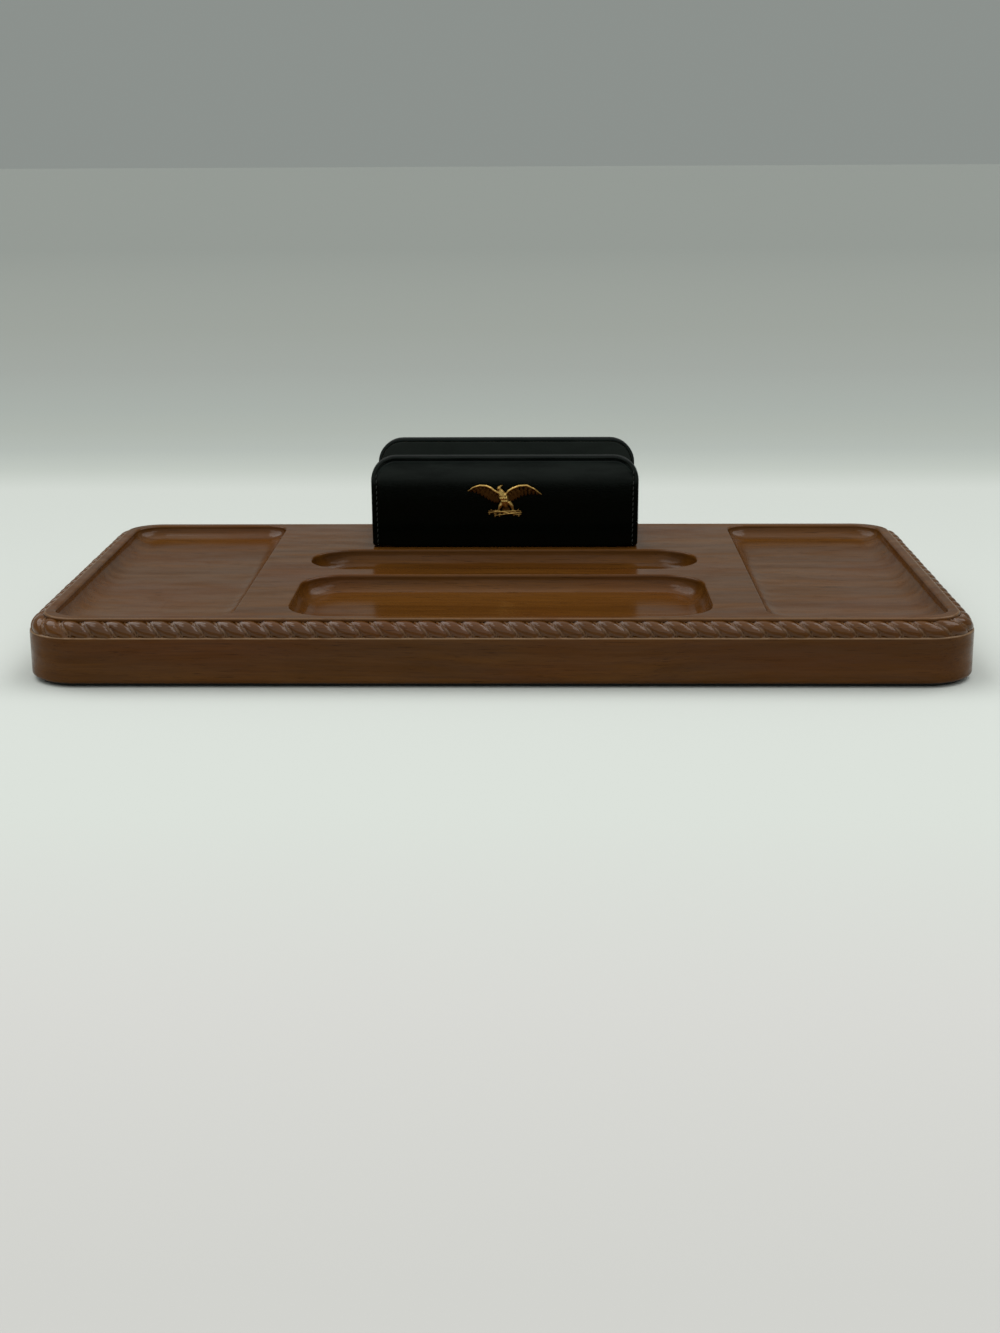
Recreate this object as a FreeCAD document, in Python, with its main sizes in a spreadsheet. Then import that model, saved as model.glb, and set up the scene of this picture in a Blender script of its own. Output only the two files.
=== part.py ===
import FreeCAD, Part
import math
import os
import Sketcher

# Valet tray: a solid walnut tray with four recesses, a twisted-rope moulding round its upper edge,
# and an upright leather holder for letters and a wallet, with a small brass eagle on its front.
# Millimetres. +X runs along the tray, +Y to its back, +Z up. The origin is on the table surface,
# under the middle of the tray.

SIZES = {
    # walnut board
    "tray_width": 355.6,
    "tray_depth": 195.6,
    "tray_corner": 20.0,
    "board_thickness": 23.9,
    "board_foot_round": 1.6,
    "deck_edge_round": 0.8,
    "well_rim_round": 0.7,
    # felt under the board
    "felt_thickness": 1.4,
    "felt_inset": 3.0,
    # rebate and rope moulding
    "rebate_width": 5.5,
    "rebate_drop": 6.1,
    "rope_radius": 2.9,
    "rope_inset": 3.0,
    "rope_seat_drop": 2.4,
    "rope_glue_line": 0.1,
    "rope_groove_depth": 0.95,
    "rope_strand_pitch": 8.27,
    "rope_lead": 19.5,
    # flat land of the deck: along the long edges, at the ends, between the side wells and what lies
    # between them, between the front well and the trough, and behind the trough
    "edge_land": 10.3,
    "end_land": 9.8,
    "centre_land": 18.4,
    "trough_land": 11.5,
    "holder_land": 3.0,
    # side wells
    "side_well_width": 67.6,
    "side_well_sink": 6.6,
    "side_well_inner_corner": 9.0,
    "side_well_outer_corner": 12.0,
    "side_well_cove": 5.8,
    # front well
    "front_well_sink": 8.0,
    "front_well_corner": 13.0,
    "front_well_cove": 7.0,
    # round-bottomed trough
    "trough_across": 40.0,
    "trough_sink": 7.2,
    # leather holder
    "holder_width": 115.5,
    "holder_depth": 50.5,
    "front_panel_height": 40.0,
    "back_panel_height": 40.9,
    "panel_corner": 11.0,
    "cover_thickness": 1.1,
    "cover_hem": 2.2,
    "padding_thickness": 0.8,
    "panel_board_thickness": 2.2,
    "base_board_thickness": 5.0,
    "lining_thickness": 0.9,
    # brass eagle
    "eagle_width": 31.6,
    "eagle_foot_height": 13.4,
    "eagle_height": 14.4,
    "eagle_plate": 0.9,
    "eagle_relief": 2.2,
    "eagle_prong_width": 1.8,
    "eagle_prong_thickness": 0.6,
    "eagle_prong_bend": 4.0,
    "eagle_prong_spacing": 9.0,
    "eagle_prong_height": 9.4,
    "eagle_prong_recess": 0.9,
    "eagle_prong_clearance": 0.15,
    # screws that hold the leather holder
    "screw_spacing": 70.0,
    "screw_shank_radius": 1.6,
    "screw_shank_length": 16.0,
    "screw_head_radius": 3.2,
    "screw_head_thickness": 2.1,
    "screw_sink": 13.0,
    "screw_sink_radius": 4.2,
    "screw_clearance": 0.3,
}

doc = FreeCAD.newDocument("valet_tray")
sheet = doc.addObject("Spreadsheet::Sheet", "sizes")
for row, (alias, value) in enumerate(SIZES.items(), start=1):
    sheet.set("A%d" % row, alias)
    sheet.set("B%d" % row, str(value))
    sheet.setAlias("B%d" % row, alias)
doc.recompute()


def size(name):
    """A driving dimension as a number, for shapes that are computed here."""
    return float(sheet.get(name))


def cells(text):
    """Write an expression in plain size names: each name becomes a reference to the sheet."""
    words = text.replace("(", " ( ").replace(")", " ) ").split()
    return " ".join("sizes." + word if word in SIZES else word for word in words)


# Levels and lengths that several pieces share, as expressions
DECK = "(felt_thickness + board_thickness)"
PANEL = "(cover_thickness + padding_thickness + panel_board_thickness + lining_thickness)"
BASE = "(cover_thickness + base_board_thickness + lining_thickness)"

# Plan of the deck, which the tray's width and depth drive, as expressions
HOLDER_BACK = "(tray_depth / 2 - edge_land)"
HOLDER_FRONT = "(%s - holder_depth)" % HOLDER_BACK
HOLDER_MIDDLE = "(%s - holder_depth / 2)" % HOLDER_BACK
SIDE_WELL_MIDDLE = "(tray_width / 2 - end_land - side_well_width / 2)"
SIDE_WELL_DEPTH = "(tray_depth - 2 * edge_land)"
CENTRE_WIDTH = "(tray_width - 2 * end_land - 2 * side_well_width - 2 * centre_land)"
BEHIND_FRONT_WELL = "(trough_land + trough_across + holder_land + holder_depth)"
FRONT_WELL_DEPTH = "(%s - %s)" % (SIDE_WELL_DEPTH, BEHIND_FRONT_WELL)
TROUGH_MIDDLE = "(%s - holder_land - trough_across / 2)" % HOLDER_FRONT


def origin_plane(body, role):
    return next(plane for plane in body.Origin.OriginFeatures if plane.Role == role)


def new_body(label):
    body = doc.addObject("PartDesign::Body", label)
    body.Label = label
    return body


def new_sketch(body, name, role, across="0", along="0", offset="0"):
    """A sketch on one of the body's own planes, moved by three expressions."""
    sketch = body.newObject("Sketcher::SketchObject", name)
    sketch.AttachmentSupport = [(origin_plane(body, role), "")]
    sketch.MapMode = "FlatFace"
    for axis, expression in (("x", across), ("y", along), ("z", offset)):
        sketch.setExpression("AttachmentOffset.Base." + axis, cells(expression))
    return sketch


def bind(sketch, index, name, expression):
    sketch.renameConstraint(index, name)
    sketch.setExpression("Constraints." + name, cells(expression))


def outline(sketch, low, high, bottom, top, radii):
    """Rectangle from low to high and bottom to top, about the sketch's own origin. radii gives the
    expression of each corner's radius, from bottom left anticlockwise, or None for a sharp one."""
    guess = 10.0
    reach = 40.0
    corners = [(-reach, -reach), (reach, -reach), (reach, reach), (-reach, reach)]
    steps = [(1, 0), (0, 1), (-1, 0), (0, -1)]
    vector = FreeCAD.Vector
    sides = []
    for i, (x, y) in enumerate(corners):
        next_x, next_y = corners[(i + 1) % 4]
        step_x, step_y = steps[i]
        start = guess if radii[i] else 0.0
        end = guess if radii[(i + 1) % 4] else 0.0
        first = vector(x + step_x * start, y + step_y * start, 0)
        last = vector(next_x - step_x * end, next_y - step_y * end, 0)
        sides.append(sketch.addGeometry(Part.LineSegment(first, last), False))
    constrain = sketch.addConstraint
    add = Sketcher.Constraint
    for i, side in enumerate(sides):
        constrain(add("Horizontal" if i % 2 == 0 else "Vertical", side))
        corner = (i + 1) % 4
        following = sides[corner]
        if not radii[corner]:
            constrain(add("Coincident", side, 2, following, 1))
            continue
        x, y = corners[corner]
        centre = vector(x - math.copysign(guess, x), y - math.copysign(guess, y), 0)
        circle = Part.Circle(centre, vector(0, 0, 1), guess)
        turn = (corner - 2) * math.pi / 2
        arc = sketch.addGeometry(Part.ArcOfCircle(circle, turn, turn + math.pi / 2), False)
        constrain(add("Tangent", side, 2, arc, 1))
        constrain(add("Tangent", arc, 2, following, 1))
        index = constrain(add("Radius", arc, guess))
        bind(sketch, index, "corner_%d" % corner, radii[corner])
    limits = (
        ("low", "DistanceX", sides[3], low, -1),
        ("high", "DistanceX", sides[1], high, 1),
        ("bottom", "DistanceY", sides[0], bottom, -1),
        ("top", "DistanceY", sides[2], top, 1),
    )
    for name, kind, side, expression, sign in limits:
        if sign < 0:
            index = constrain(add(kind, side, 1, -1, 1, reach))
        else:
            index = constrain(add(kind, -1, 1, side, 1, reach))
        bind(sketch, index, name, expression)
    doc.recompute()
    return sketch


def centred(sketch, width, depth, radii):
    half_width = "(%s) / 2" % width
    half_depth = "(%s) / 2" % depth
    return outline(sketch, half_width, half_width, half_depth, half_depth, radii)


def circle(sketch, radius):
    """Circle of an expression's radius about the sketch's own origin."""
    add = Sketcher.Constraint
    middle = FreeCAD.Vector(0, 0, 0)
    ring = sketch.addGeometry(Part.Circle(middle, FreeCAD.Vector(0, 0, 1), 1.0), False)
    sketch.addConstraint(add("Coincident", ring, 3, -1, 1))
    bind(sketch, sketch.addConstraint(add("Radius", ring, 1.0)), "radius", radius)
    return sketch


def pad(body, sketch, length):
    feature = body.newObject("PartDesign::Pad", sketch.Name + "_pad")
    feature.Profile = sketch
    feature.setExpression("Length", cells(length))
    doc.recompute()
    return feature


def pocket(body, sketch, length, upwards=False, both_ways=False):
    feature = body.newObject("PartDesign::Pocket", sketch.Name + "_pocket")
    feature.Profile = sketch
    feature.Reversed = upwards
    feature.Midplane = both_ways
    feature.setExpression("Length", cells(length))
    before = body.Shape.Volume
    doc.recompute()
    assert body.Shape.Volume < before, sketch.Name + " cuts nothing"
    return feature


def round_edges(body, name, radius, wanted, kind="Fillet"):
    """Fillet or chamfer each edge of the body so far that wanted(edge) picks."""
    edges = ["Edge%d" % (i + 1) for i, edge in enumerate(body.Shape.Edges) if wanted(edge)]
    assert edges, name + " finds no edge"
    base = body.Tip
    feature = body.newObject("PartDesign::" + kind, name)
    feature.Base = (base, edges)
    feature.setExpression("Radius" if kind == "Fillet" else "Size", cells(radius))
    doc.recompute()
    return feature


def lies_at(edge, level):
    """Whether an edge lies flat at a height."""
    box = edge.BoundBox
    return max(abs(box.ZMin - level), abs(box.ZMax - level)) < 0.01


def within(edge, sketch):
    """Whether an edge's middle lies over a sketch, seen from above."""
    box = sketch.Shape.BoundBox
    middle = edge.CenterOfMass
    return box.XMin < middle.x < box.XMax and box.YMin < middle.y < box.YMax


def rounded_rectangle_body(label, width, depth, corner, bottom, height):
    body = new_body(label)
    sketch = new_sketch(body, label + "_plan", "XY_Plane", offset=bottom)
    centred(sketch, width, depth, [corner] * 4)
    pad(body, sketch, height)
    return body


def felt_base():
    corner = "tray_corner - felt_inset"
    width = "tray_width - 2 * felt_inset"
    depth = "tray_depth - 2 * felt_inset"
    return rounded_rectangle_body("felt_base", width, depth, corner, "0", "felt_thickness")


def tray_board():
    body = rounded_rectangle_body(
        "tray_board",
        "tray_width",
        "tray_depth",
        "tray_corner",
        "felt_thickness",
        "board_thickness - rebate_drop",
    )
    raised = new_sketch(body, "deck_plan", "XY_Plane", offset=DECK + " - rebate_drop")
    raised_width = "tray_width - 2 * rebate_width"
    raised_depth = "tray_depth - 2 * rebate_width"
    centred(raised, raised_width, raised_depth, ["tray_corner - rebate_width"] * 4)
    pad(body, raised, "rebate_drop")

    # Wells, each with a cove where its wall meets its floor
    deck = size("felt_thickness") + size("board_thickness")
    inner = "side_well_inner_corner"
    outer = "side_well_outer_corner"
    side_plan = ("side_well_width", SIDE_WELL_DEPTH)
    front_plan = (CENTRE_WIDTH, FRONT_WELL_DEPTH)
    front_corners = ["front_well_corner"] * 4
    wells = (
        ("left_well", "- " + SIDE_WELL_MIDDLE, "0", "side_well", side_plan, [outer, inner, inner, outer]),
        ("right_well", SIDE_WELL_MIDDLE, "0", "side_well", side_plan, [inner, outer, outer, inner]),
        ("front_well", "0", "- %s / 2" % BEHIND_FRONT_WELL, "front_well", front_plan, front_corners),
    )
    for name, across, along, kind, plan, radii in wells:
        sketch = new_sketch(body, name, "XY_Plane", across, along, DECK)
        centred(sketch, *plan, radii)
        pocket(body, sketch, kind + "_sink")
        floor = deck - size(kind + "_sink")
        round_edges(
            body, name + "_cove", kind + "_cove", lambda edge: lies_at(edge, floor) and within(edge, sketch)
        )

    # Trough: a round bottom that runs out into a dished end on each side
    trough_cut(body)

    # Counterbored holes from below for the holder's screws
    holes = []
    for name, across in sides("screw_spacing"):
        sink = new_sketch(body, name + "_sink", "XY_Plane", across, HOLDER_MIDDLE, "felt_thickness")
        circle(sink, "screw_sink_radius")
        pocket(body, sink, "screw_sink", upwards=True)
        hole = new_sketch(body, name + "_hole", "XY_Plane", across, HOLDER_MIDDLE, "felt_thickness")
        circle(hole, "screw_shank_radius + screw_clearance")
        pocket(body, hole, "board_thickness", upwards=True)
        holes.append(hole)

    # Worn edges: round the deck, round each recess and under the board
    bottom = size("felt_thickness")
    round_edges(
        body,
        "deck_round",
        "deck_edge_round",
        lambda edge: lies_at(edge, deck) and is_outermost(edge),
        "Chamfer",
    )
    round_edges(
        body,
        "rim_round",
        "well_rim_round",
        lambda edge: lies_at(edge, deck)
        and not is_outermost(edge)
        and not any(within(edge, hole) for hole in holes),
        "Chamfer",
    )
    round_edges(
        body,
        "foot_round",
        "board_foot_round",
        lambda edge: lies_at(edge, bottom) and is_outermost(edge),
        "Chamfer",
    )
    return body


def is_outermost(edge):
    """Whether an edge lies outside all the recesses and holes, seen from above."""
    land = min(size("edge_land"), size("end_land"))
    limit_x = size("tray_width") / 2 - land
    limit_y = size("tray_depth") / 2 - land
    middle = edge.CenterOfMass
    return abs(middle.x) > limit_x or abs(middle.y) > limit_y


def trough_cut(body):
    """Cut the trough: a circular arc run along X, and the same arc turned at each end."""
    bend = "((trough_across * trough_across / 4 + trough_sink * trough_sink) / (2 * trough_sink))"
    add = Sketcher.Constraint
    vector = FreeCAD.Vector
    half = size("trough_across") / 2
    sink = size("trough_sink")
    radius = (half * half + sink * sink) / (2 * sink)
    turn = math.asin(half / radius)

    def segment(sketch, whole):
        """Arc below a chord, or its half beside the sketch's upright axis."""
        centre = vector(0, radius - sink, 0)
        ring = Part.Circle(centre, vector(0, 0, 1), radius)
        left = -math.pi / 2 - (turn if whole else 0.0)
        arc = sketch.addGeometry(Part.ArcOfCircle(ring, left, -math.pi / 2 + turn), False)
        left_x = -half if whole else 0.0
        lines = [Part.LineSegment(vector(half, 0, 0), vector(left_x, 0, 0))]
        if not whole:
            lines.append(Part.LineSegment(vector(0, 0, 0), vector(0, -sink, 0)))
        chord = sketch.addGeometry(lines[0], False)
        sketch.addConstraint(add("Coincident", arc, 2, chord, 1))
        sketch.addConstraint(add("Horizontal", chord))
        sketch.addConstraint(add("PointOnObject", chord, 1, -1))
        sketch.addConstraint(add("PointOnObject", arc, 3, -2))
        bind(sketch, sketch.addConstraint(add("Radius", arc, radius)), "bend", bend)
        index = sketch.addConstraint(add("DistanceX", -1, 1, chord, 1, half))
        bind(sketch, index, "reach", "trough_across / 2")
        if whole:
            sketch.addConstraint(add("Coincident", chord, 2, arc, 1))
        else:
            side = sketch.addGeometry(lines[1], False)
            sketch.addConstraint(add("Coincident", chord, 2, side, 1))
            sketch.addConstraint(add("Coincident", side, 2, arc, 1))
            sketch.addConstraint(add("Vertical", side))
            sketch.addConstraint(add("PointOnObject", chord, 2, -2))
        doc.recompute()

    # A sketch on the YZ plane has Y as its first axis and Z as its second
    straight = "(%s - trough_across)" % CENTRE_WIDTH
    run = new_sketch(body, "trough_run", "YZ_Plane", TROUGH_MIDDLE, DECK)
    segment(run, whole=True)
    pocket(body, run, straight, both_ways=True)
    for name, offset in sides(straight):
        end = new_sketch(body, "trough_%s_end" % name, "YZ_Plane", TROUGH_MIDDLE, DECK, offset)
        segment(end, whole=False)
        dish = body.newObject("PartDesign::Groove", "trough_%s_dish" % name)
        dish.Profile = end
        dish.ReferenceAxis = (end, ["V_Axis"])
        dish.Angle = 360
        before = body.Shape.Volume
        doc.recompute()
        assert body.Shape.Volume < before, name + " end of the trough cuts nothing"


def rope_moulding():
    """Twisted moulding: sections across the rope, carried round the tray's outline. A section's points
    lie on a helix, so the strands slant, and its radius swells and drops from strand to strand."""
    radius = size("rope_radius")
    inset = size("rope_inset")
    seat = -size("rope_seat_drop")
    wall = -(size("rebate_width") - inset) + size("rope_glue_line")
    lead = size("rope_lead")
    half_x = size("tray_width") / 2 - inset
    half_y = size("tray_depth") / 2 - inset
    bend = size("tray_corner") - inset
    level = size("felt_thickness") + size("board_thickness") - size("rebate_drop") - seat

    run_x = 2 * (half_x - bend)
    run_y = 2 * (half_y - bend)
    quarter = bend * math.pi / 2
    lengths = [run_x, quarter, run_y, quarter] * 2
    whole = sum(lengths)
    count = round(whole / size("rope_strand_pitch"))
    pitch = whole / count
    starts = [
        (-half_x + bend, -half_y),
        (half_x - bend, -half_y),
        (half_x, -half_y + bend),
        (half_x, half_y - bend),
        (half_x - bend, half_y),
        (-half_x + bend, half_y),
        (-half_x, half_y - bend),
        (-half_x, -half_y + bend),
    ]

    def place(distance, outward, up):
        """A point beside the centre line, which runs anticlockwise from the front left corner."""
        distance %= whole
        for index, length in enumerate(lengths):
            if distance <= length:
                break
            distance -= length
        heading = (index // 2) * math.pi / 2
        x, y = starts[index]
        if index % 2 == 0:
            x += distance * math.cos(heading)
            y += distance * math.sin(heading)
        else:
            x -= bend * math.sin(heading)
            y += bend * math.cos(heading)
            heading += distance / bend
            x += bend * math.sin(heading)
            y -= bend * math.cos(heading)
        x += outward * math.sin(heading)
        y -= outward * math.cos(heading)
        return FreeCAD.Vector(x, y, level + up)

    def section(distance, share):
        """Corners of a section: the round outside in a few facets, then the corner of the flats against
        the rebate's wall and ledge. A groove's section is the crest's, drawn in towards that corner,
        so that the facets between two sections are flat."""
        low = math.asin(seat / radius)
        high = math.acos(wall / radius)
        turn = lead / (2 * math.pi)
        corner = (-turn * (low + high) / 2, wall, seat)
        facets = 3
        outside = []
        for step in range(facets + 1):
            angle = low + (high - low) * step / facets
            outside.append((-turn * angle, radius * math.cos(angle), radius * math.sin(angle)))
        points = []
        for spot in outside + [corner]:
            slip, outward, up = (c + share * (value - c) for c, value in zip(corner, spot))
            points.append(place(distance + slip, outward, up))
        return points

    # Each strand: the groove before it, then its two shoulders
    drawn_in = 1 - size("rope_groove_depth") / (radius + math.hypot(wall, seat))
    profile = ((0.0, drawn_in), (0.3, 1.0), (0.7, 1.0))
    sections = [section((i + phase) * pitch, share) for i in range(count) for phase, share in profile]
    faces = []
    for first, second in zip(sections, sections[1:] + sections[:1]):
        for i in range(len(first)):
            j = (i + 1) % len(first)
            faces += flat_faces(first[i], second[i], second[j], first[j])
    shell = Part.makeShell(faces)
    shell.sewShape()
    ring = Part.makeSolid(shell)
    if ring.Volume < 0:
        ring.reverse()
    feature = doc.addObject("Part::Feature", "rope_moulding")
    feature.Label = "rope_moulding"
    feature.Shape = ring
    feature.Placement = FreeCAD.Placement()
    print("rope: %d strands, %.3f mm apart, volume %.0f mm3" % (count, pitch, ring.Volume))
    return feature


def flat_faces(a, b, c, d):
    """The face between four corners, or the two triangles of a face that isn't flat."""
    normal = (b - a).cross(c - a)
    if abs(normal.dot(d - a)) < 1e-7 * normal.Length:
        return [Part.Face(Part.makePolygon([a, b, c, d, a]))]
    return [Part.Face(Part.makePolygon([a, b, c, a])), Part.Face(Part.makePolygon([a, c, d, a]))]


def upright_panel(label, width, bottom, top, corner, front, thickness):
    """Panel that stands along X with rounded upper corners. Its front face lies at Y = front."""
    body = new_body(label)
    offset = "- (%s + %s)" % (front, thickness)
    sketch = new_sketch(body, label + "_face", "XZ_Plane", offset=offset)
    half = "(%s) / 2" % width
    outline(sketch, half, half, "- (%s)" % bottom, top, [None, None, corner, corner])
    pad(body, sketch, thickness)
    return body


def flat_panel(label, width, front, back, bottom, thickness):
    """Plain flat board or sheet, centred on X, from Y = front to Y = back."""
    body = new_body(label)
    sketch = new_sketch(body, label + "_plan", "XY_Plane", offset=bottom)
    half = "(%s) / 2" % width
    outline(sketch, half, half, "- (%s)" % front, back, [None] * 4)
    pad(body, sketch, thickness)
    return body


def rod(name, radius, length, across, along, up):
    """Upright cylinder, from its foot."""
    shape = doc.addObject("Part::Cylinder", name)
    shape.setExpression("Radius", cells(radius))
    shape.setExpression("Height", cells(length))
    for axis, expression in (("x", across), ("y", along), ("z", up)):
        shape.setExpression("Placement.Base." + axis, cells(expression))
    return shape


def block(name, across, front, up, width, depth, height):
    """Box centred on X and on a height, from Y = front towards the back."""
    shape = doc.addObject("Part::Box", name)
    for side, expression in (("Length", width), ("Width", depth), ("Height", height)):
        shape.setExpression(side, cells(expression))
    shape.setExpression("Placement.Base.x", cells("%s - %s / 2" % (across, width)))
    shape.setExpression("Placement.Base.y", cells(front))
    shape.setExpression("Placement.Base.z", cells("%s - %s / 2" % (up, height)))
    return shape


def fused(name, shapes):
    feature = doc.addObject("Part::MultiFuse", name)
    feature.Shapes = shapes
    feature.Refine = True
    return feature


def cut(name, base, tool):
    feature = doc.addObject("Part::Cut", name)
    feature.Base = base
    feature.Tool = tool
    feature.Label = name
    return feature


def together(name, shapes):
    """Several separate solids in one node."""
    feature = doc.addObject("Part::Compound", name)
    feature.Links = shapes
    feature.Label = name
    return feature


def sides(length):
    """Expressions for a place on the left and one on the right, by name."""
    return (("left", "- %s / 2" % length), ("right", "%s / 2" % length))


def screws():
    """Two pan-headed wood screws. Each head bears on the floor of its sink."""
    seat = "felt_thickness + screw_sink"
    pair = []
    for name, across in sides("screw_spacing"):
        head = rod(
            name + "_screw_head",
            "screw_head_radius",
            "screw_head_thickness",
            across,
            HOLDER_MIDDLE,
            seat + " - screw_head_thickness",
        )
        shank = rod(
            name + "_screw_shank", "screw_shank_radius", "screw_shank_length", across, HOLDER_MIDDLE, seat
        )
        pair.append(fused(name + "_screw", [head, shank]))
    return together("holder_screws", pair)


def holder(screw_pair):
    """U-shaped leather holder: boards and foam inside a cover that turns over their edges, and a
    lining that fills the place inside the turned edge."""
    panel_bottom = DECK + " + cover_thickness"
    inner_width = "holder_width - 2 * cover_thickness"
    board_corner = "panel_corner - cover_thickness"
    lining_width = "holder_width - 2 * cover_hem"
    lining_corner = "panel_corner - cover_hem"
    lining_bottom = DECK + " + cover_thickness + base_board_thickness"
    heights = {"front": DECK + " + front_panel_height", "back": DECK + " + back_panel_height"}
    inside_back = "(%s - %s)" % (HOLDER_BACK, PANEL)

    # Each layer's front face, from the outside of its panel inwards
    front_foam = "(%s + cover_thickness)" % HOLDER_FRONT
    front_stiff = "(%s + padding_thickness)" % front_foam
    front_inner = "(%s + panel_board_thickness)" % front_stiff
    back_foam = "(%s - cover_thickness - padding_thickness)" % HOLDER_BACK
    back_stiff = "(%s - panel_board_thickness)" % back_foam
    faces = {
        "front": (HOLDER_FRONT, front_foam, front_stiff, front_inner),
        "back": (inside_back, back_foam, back_stiff, inside_back),
    }
    pieces = {}
    slabs = []
    sheets = []
    for side, (slab_face, foam_face, stiff_face, lining_face) in faces.items():
        top = heights[side]
        slab = upright_panel(side + "_slab", "holder_width", DECK, top, "panel_corner", slab_face, PANEL)
        slabs.append(slab)
        core_top = top + " - cover_thickness"
        core = (inner_width, panel_bottom, core_top, board_corner)
        pieces[side + "_padding"] = upright_panel(
            side + "_padding", *core, foam_face, "padding_thickness"
        )
        pieces[side + "_stiff"] = upright_panel(
            side + "_stiffener", *core, stiff_face, "panel_board_thickness"
        )
        sheet_top = top + " - cover_hem"
        sheets.append(
            upright_panel(
                side + "_sheet",
                lining_width,
                lining_bottom,
                sheet_top,
                lining_corner,
                lining_face,
                "lining_thickness",
            )
        )
    slabs.append(flat_panel("base_slab", "holder_width", HOLDER_FRONT, HOLDER_BACK, DECK, BASE))
    sheets.append(
        flat_panel("base_sheet", lining_width, front_inner, back_stiff, lining_bottom, "lining_thickness")
    )
    base_stiff = flat_panel(
        "base_stiffener", inner_width, front_inner, back_stiff, panel_bottom, "base_board_thickness"
    )
    lining = fused("holder_lining", sheets)
    lining.Label = "holder_lining"

    # Slots for the eagle's prongs, and recesses behind the board for their bent ends
    slots = []
    recesses = []
    slot_width = "(eagle_prong_width + 2 * eagle_prong_clearance)"
    slot_height = "(eagle_prong_thickness + 2 * eagle_prong_clearance)"
    for name, across in sides("eagle_prong_spacing"):
        up = DECK + " + eagle_foot_height + eagle_prong_height"
        slots.append(block(name + "_slot", across, HOLDER_FRONT, up, slot_width, PANEL, slot_height))
        sign = across[0] if across[0] == "-" else ""
        middle = "%s (eagle_prong_spacing / 2 + eagle_prong_bend / 2)" % sign
        length = "(eagle_prong_bend + %s)" % slot_width
        face = front_inner + " - eagle_prong_recess"
        recesses.append(
            block(name + "_recess", middle, face, up, length, "eagle_prong_recess", slot_height)
        )
    through = fused("prong_slots", slots)
    front_board = cut("holder_front_board", pieces["front_stiff"], fused("board_slots", slots + recesses))
    front_padding = cut("holder_front_padding", pieces["front_padding"], through)
    back_board = pieces["back_stiff"]
    back_board.Label = "holder_back_board"
    back_padding = pieces["back_padding"]
    back_padding.Label = "holder_back_padding"
    base_board = cut("holder_base_board", base_stiff, screw_pair)

    screw_holes = [
        rod(name + "_cover_hole", "screw_shank_radius + screw_clearance", BASE, across, HOLDER_MIDDLE, DECK)
        for name, across in sides("screw_spacing")
    ]
    filled = [
        pieces["front_padding"],
        pieces["back_padding"],
        pieces["front_stiff"],
        pieces["back_stiff"],
        base_stiff,
        lining,
    ]
    hollow = fused("cover_hollow", filled + slots + screw_holes)
    cover = cut("holder_cover", fused("cover_block", slabs), hollow)
    return [cover, lining, front_board, back_board, base_board, front_padding, back_padding]


def tapered(spots, facets):
    """Solid through a row of (middle, half width, half depth): flat facets between its sections,
    which stand across the row's run from its first middle to its last."""
    run = (spots[-1][0] - spots[0][0]).normalize()
    out = FreeCAD.Vector(0, -1, 0)
    across = run.cross(out).normalize()
    wires = []
    for middle, wide, deep in spots:
        ring = []
        for step in range(facets):
            angle = 2 * math.pi * (step + 0.5) / facets
            ring.append(middle + across * (wide * math.cos(angle)) + out * (deep * math.sin(angle)))
        wires.append(Part.makePolygon(ring + ring[:1]))
    return Part.makeLoft(wires, True, True)


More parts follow.
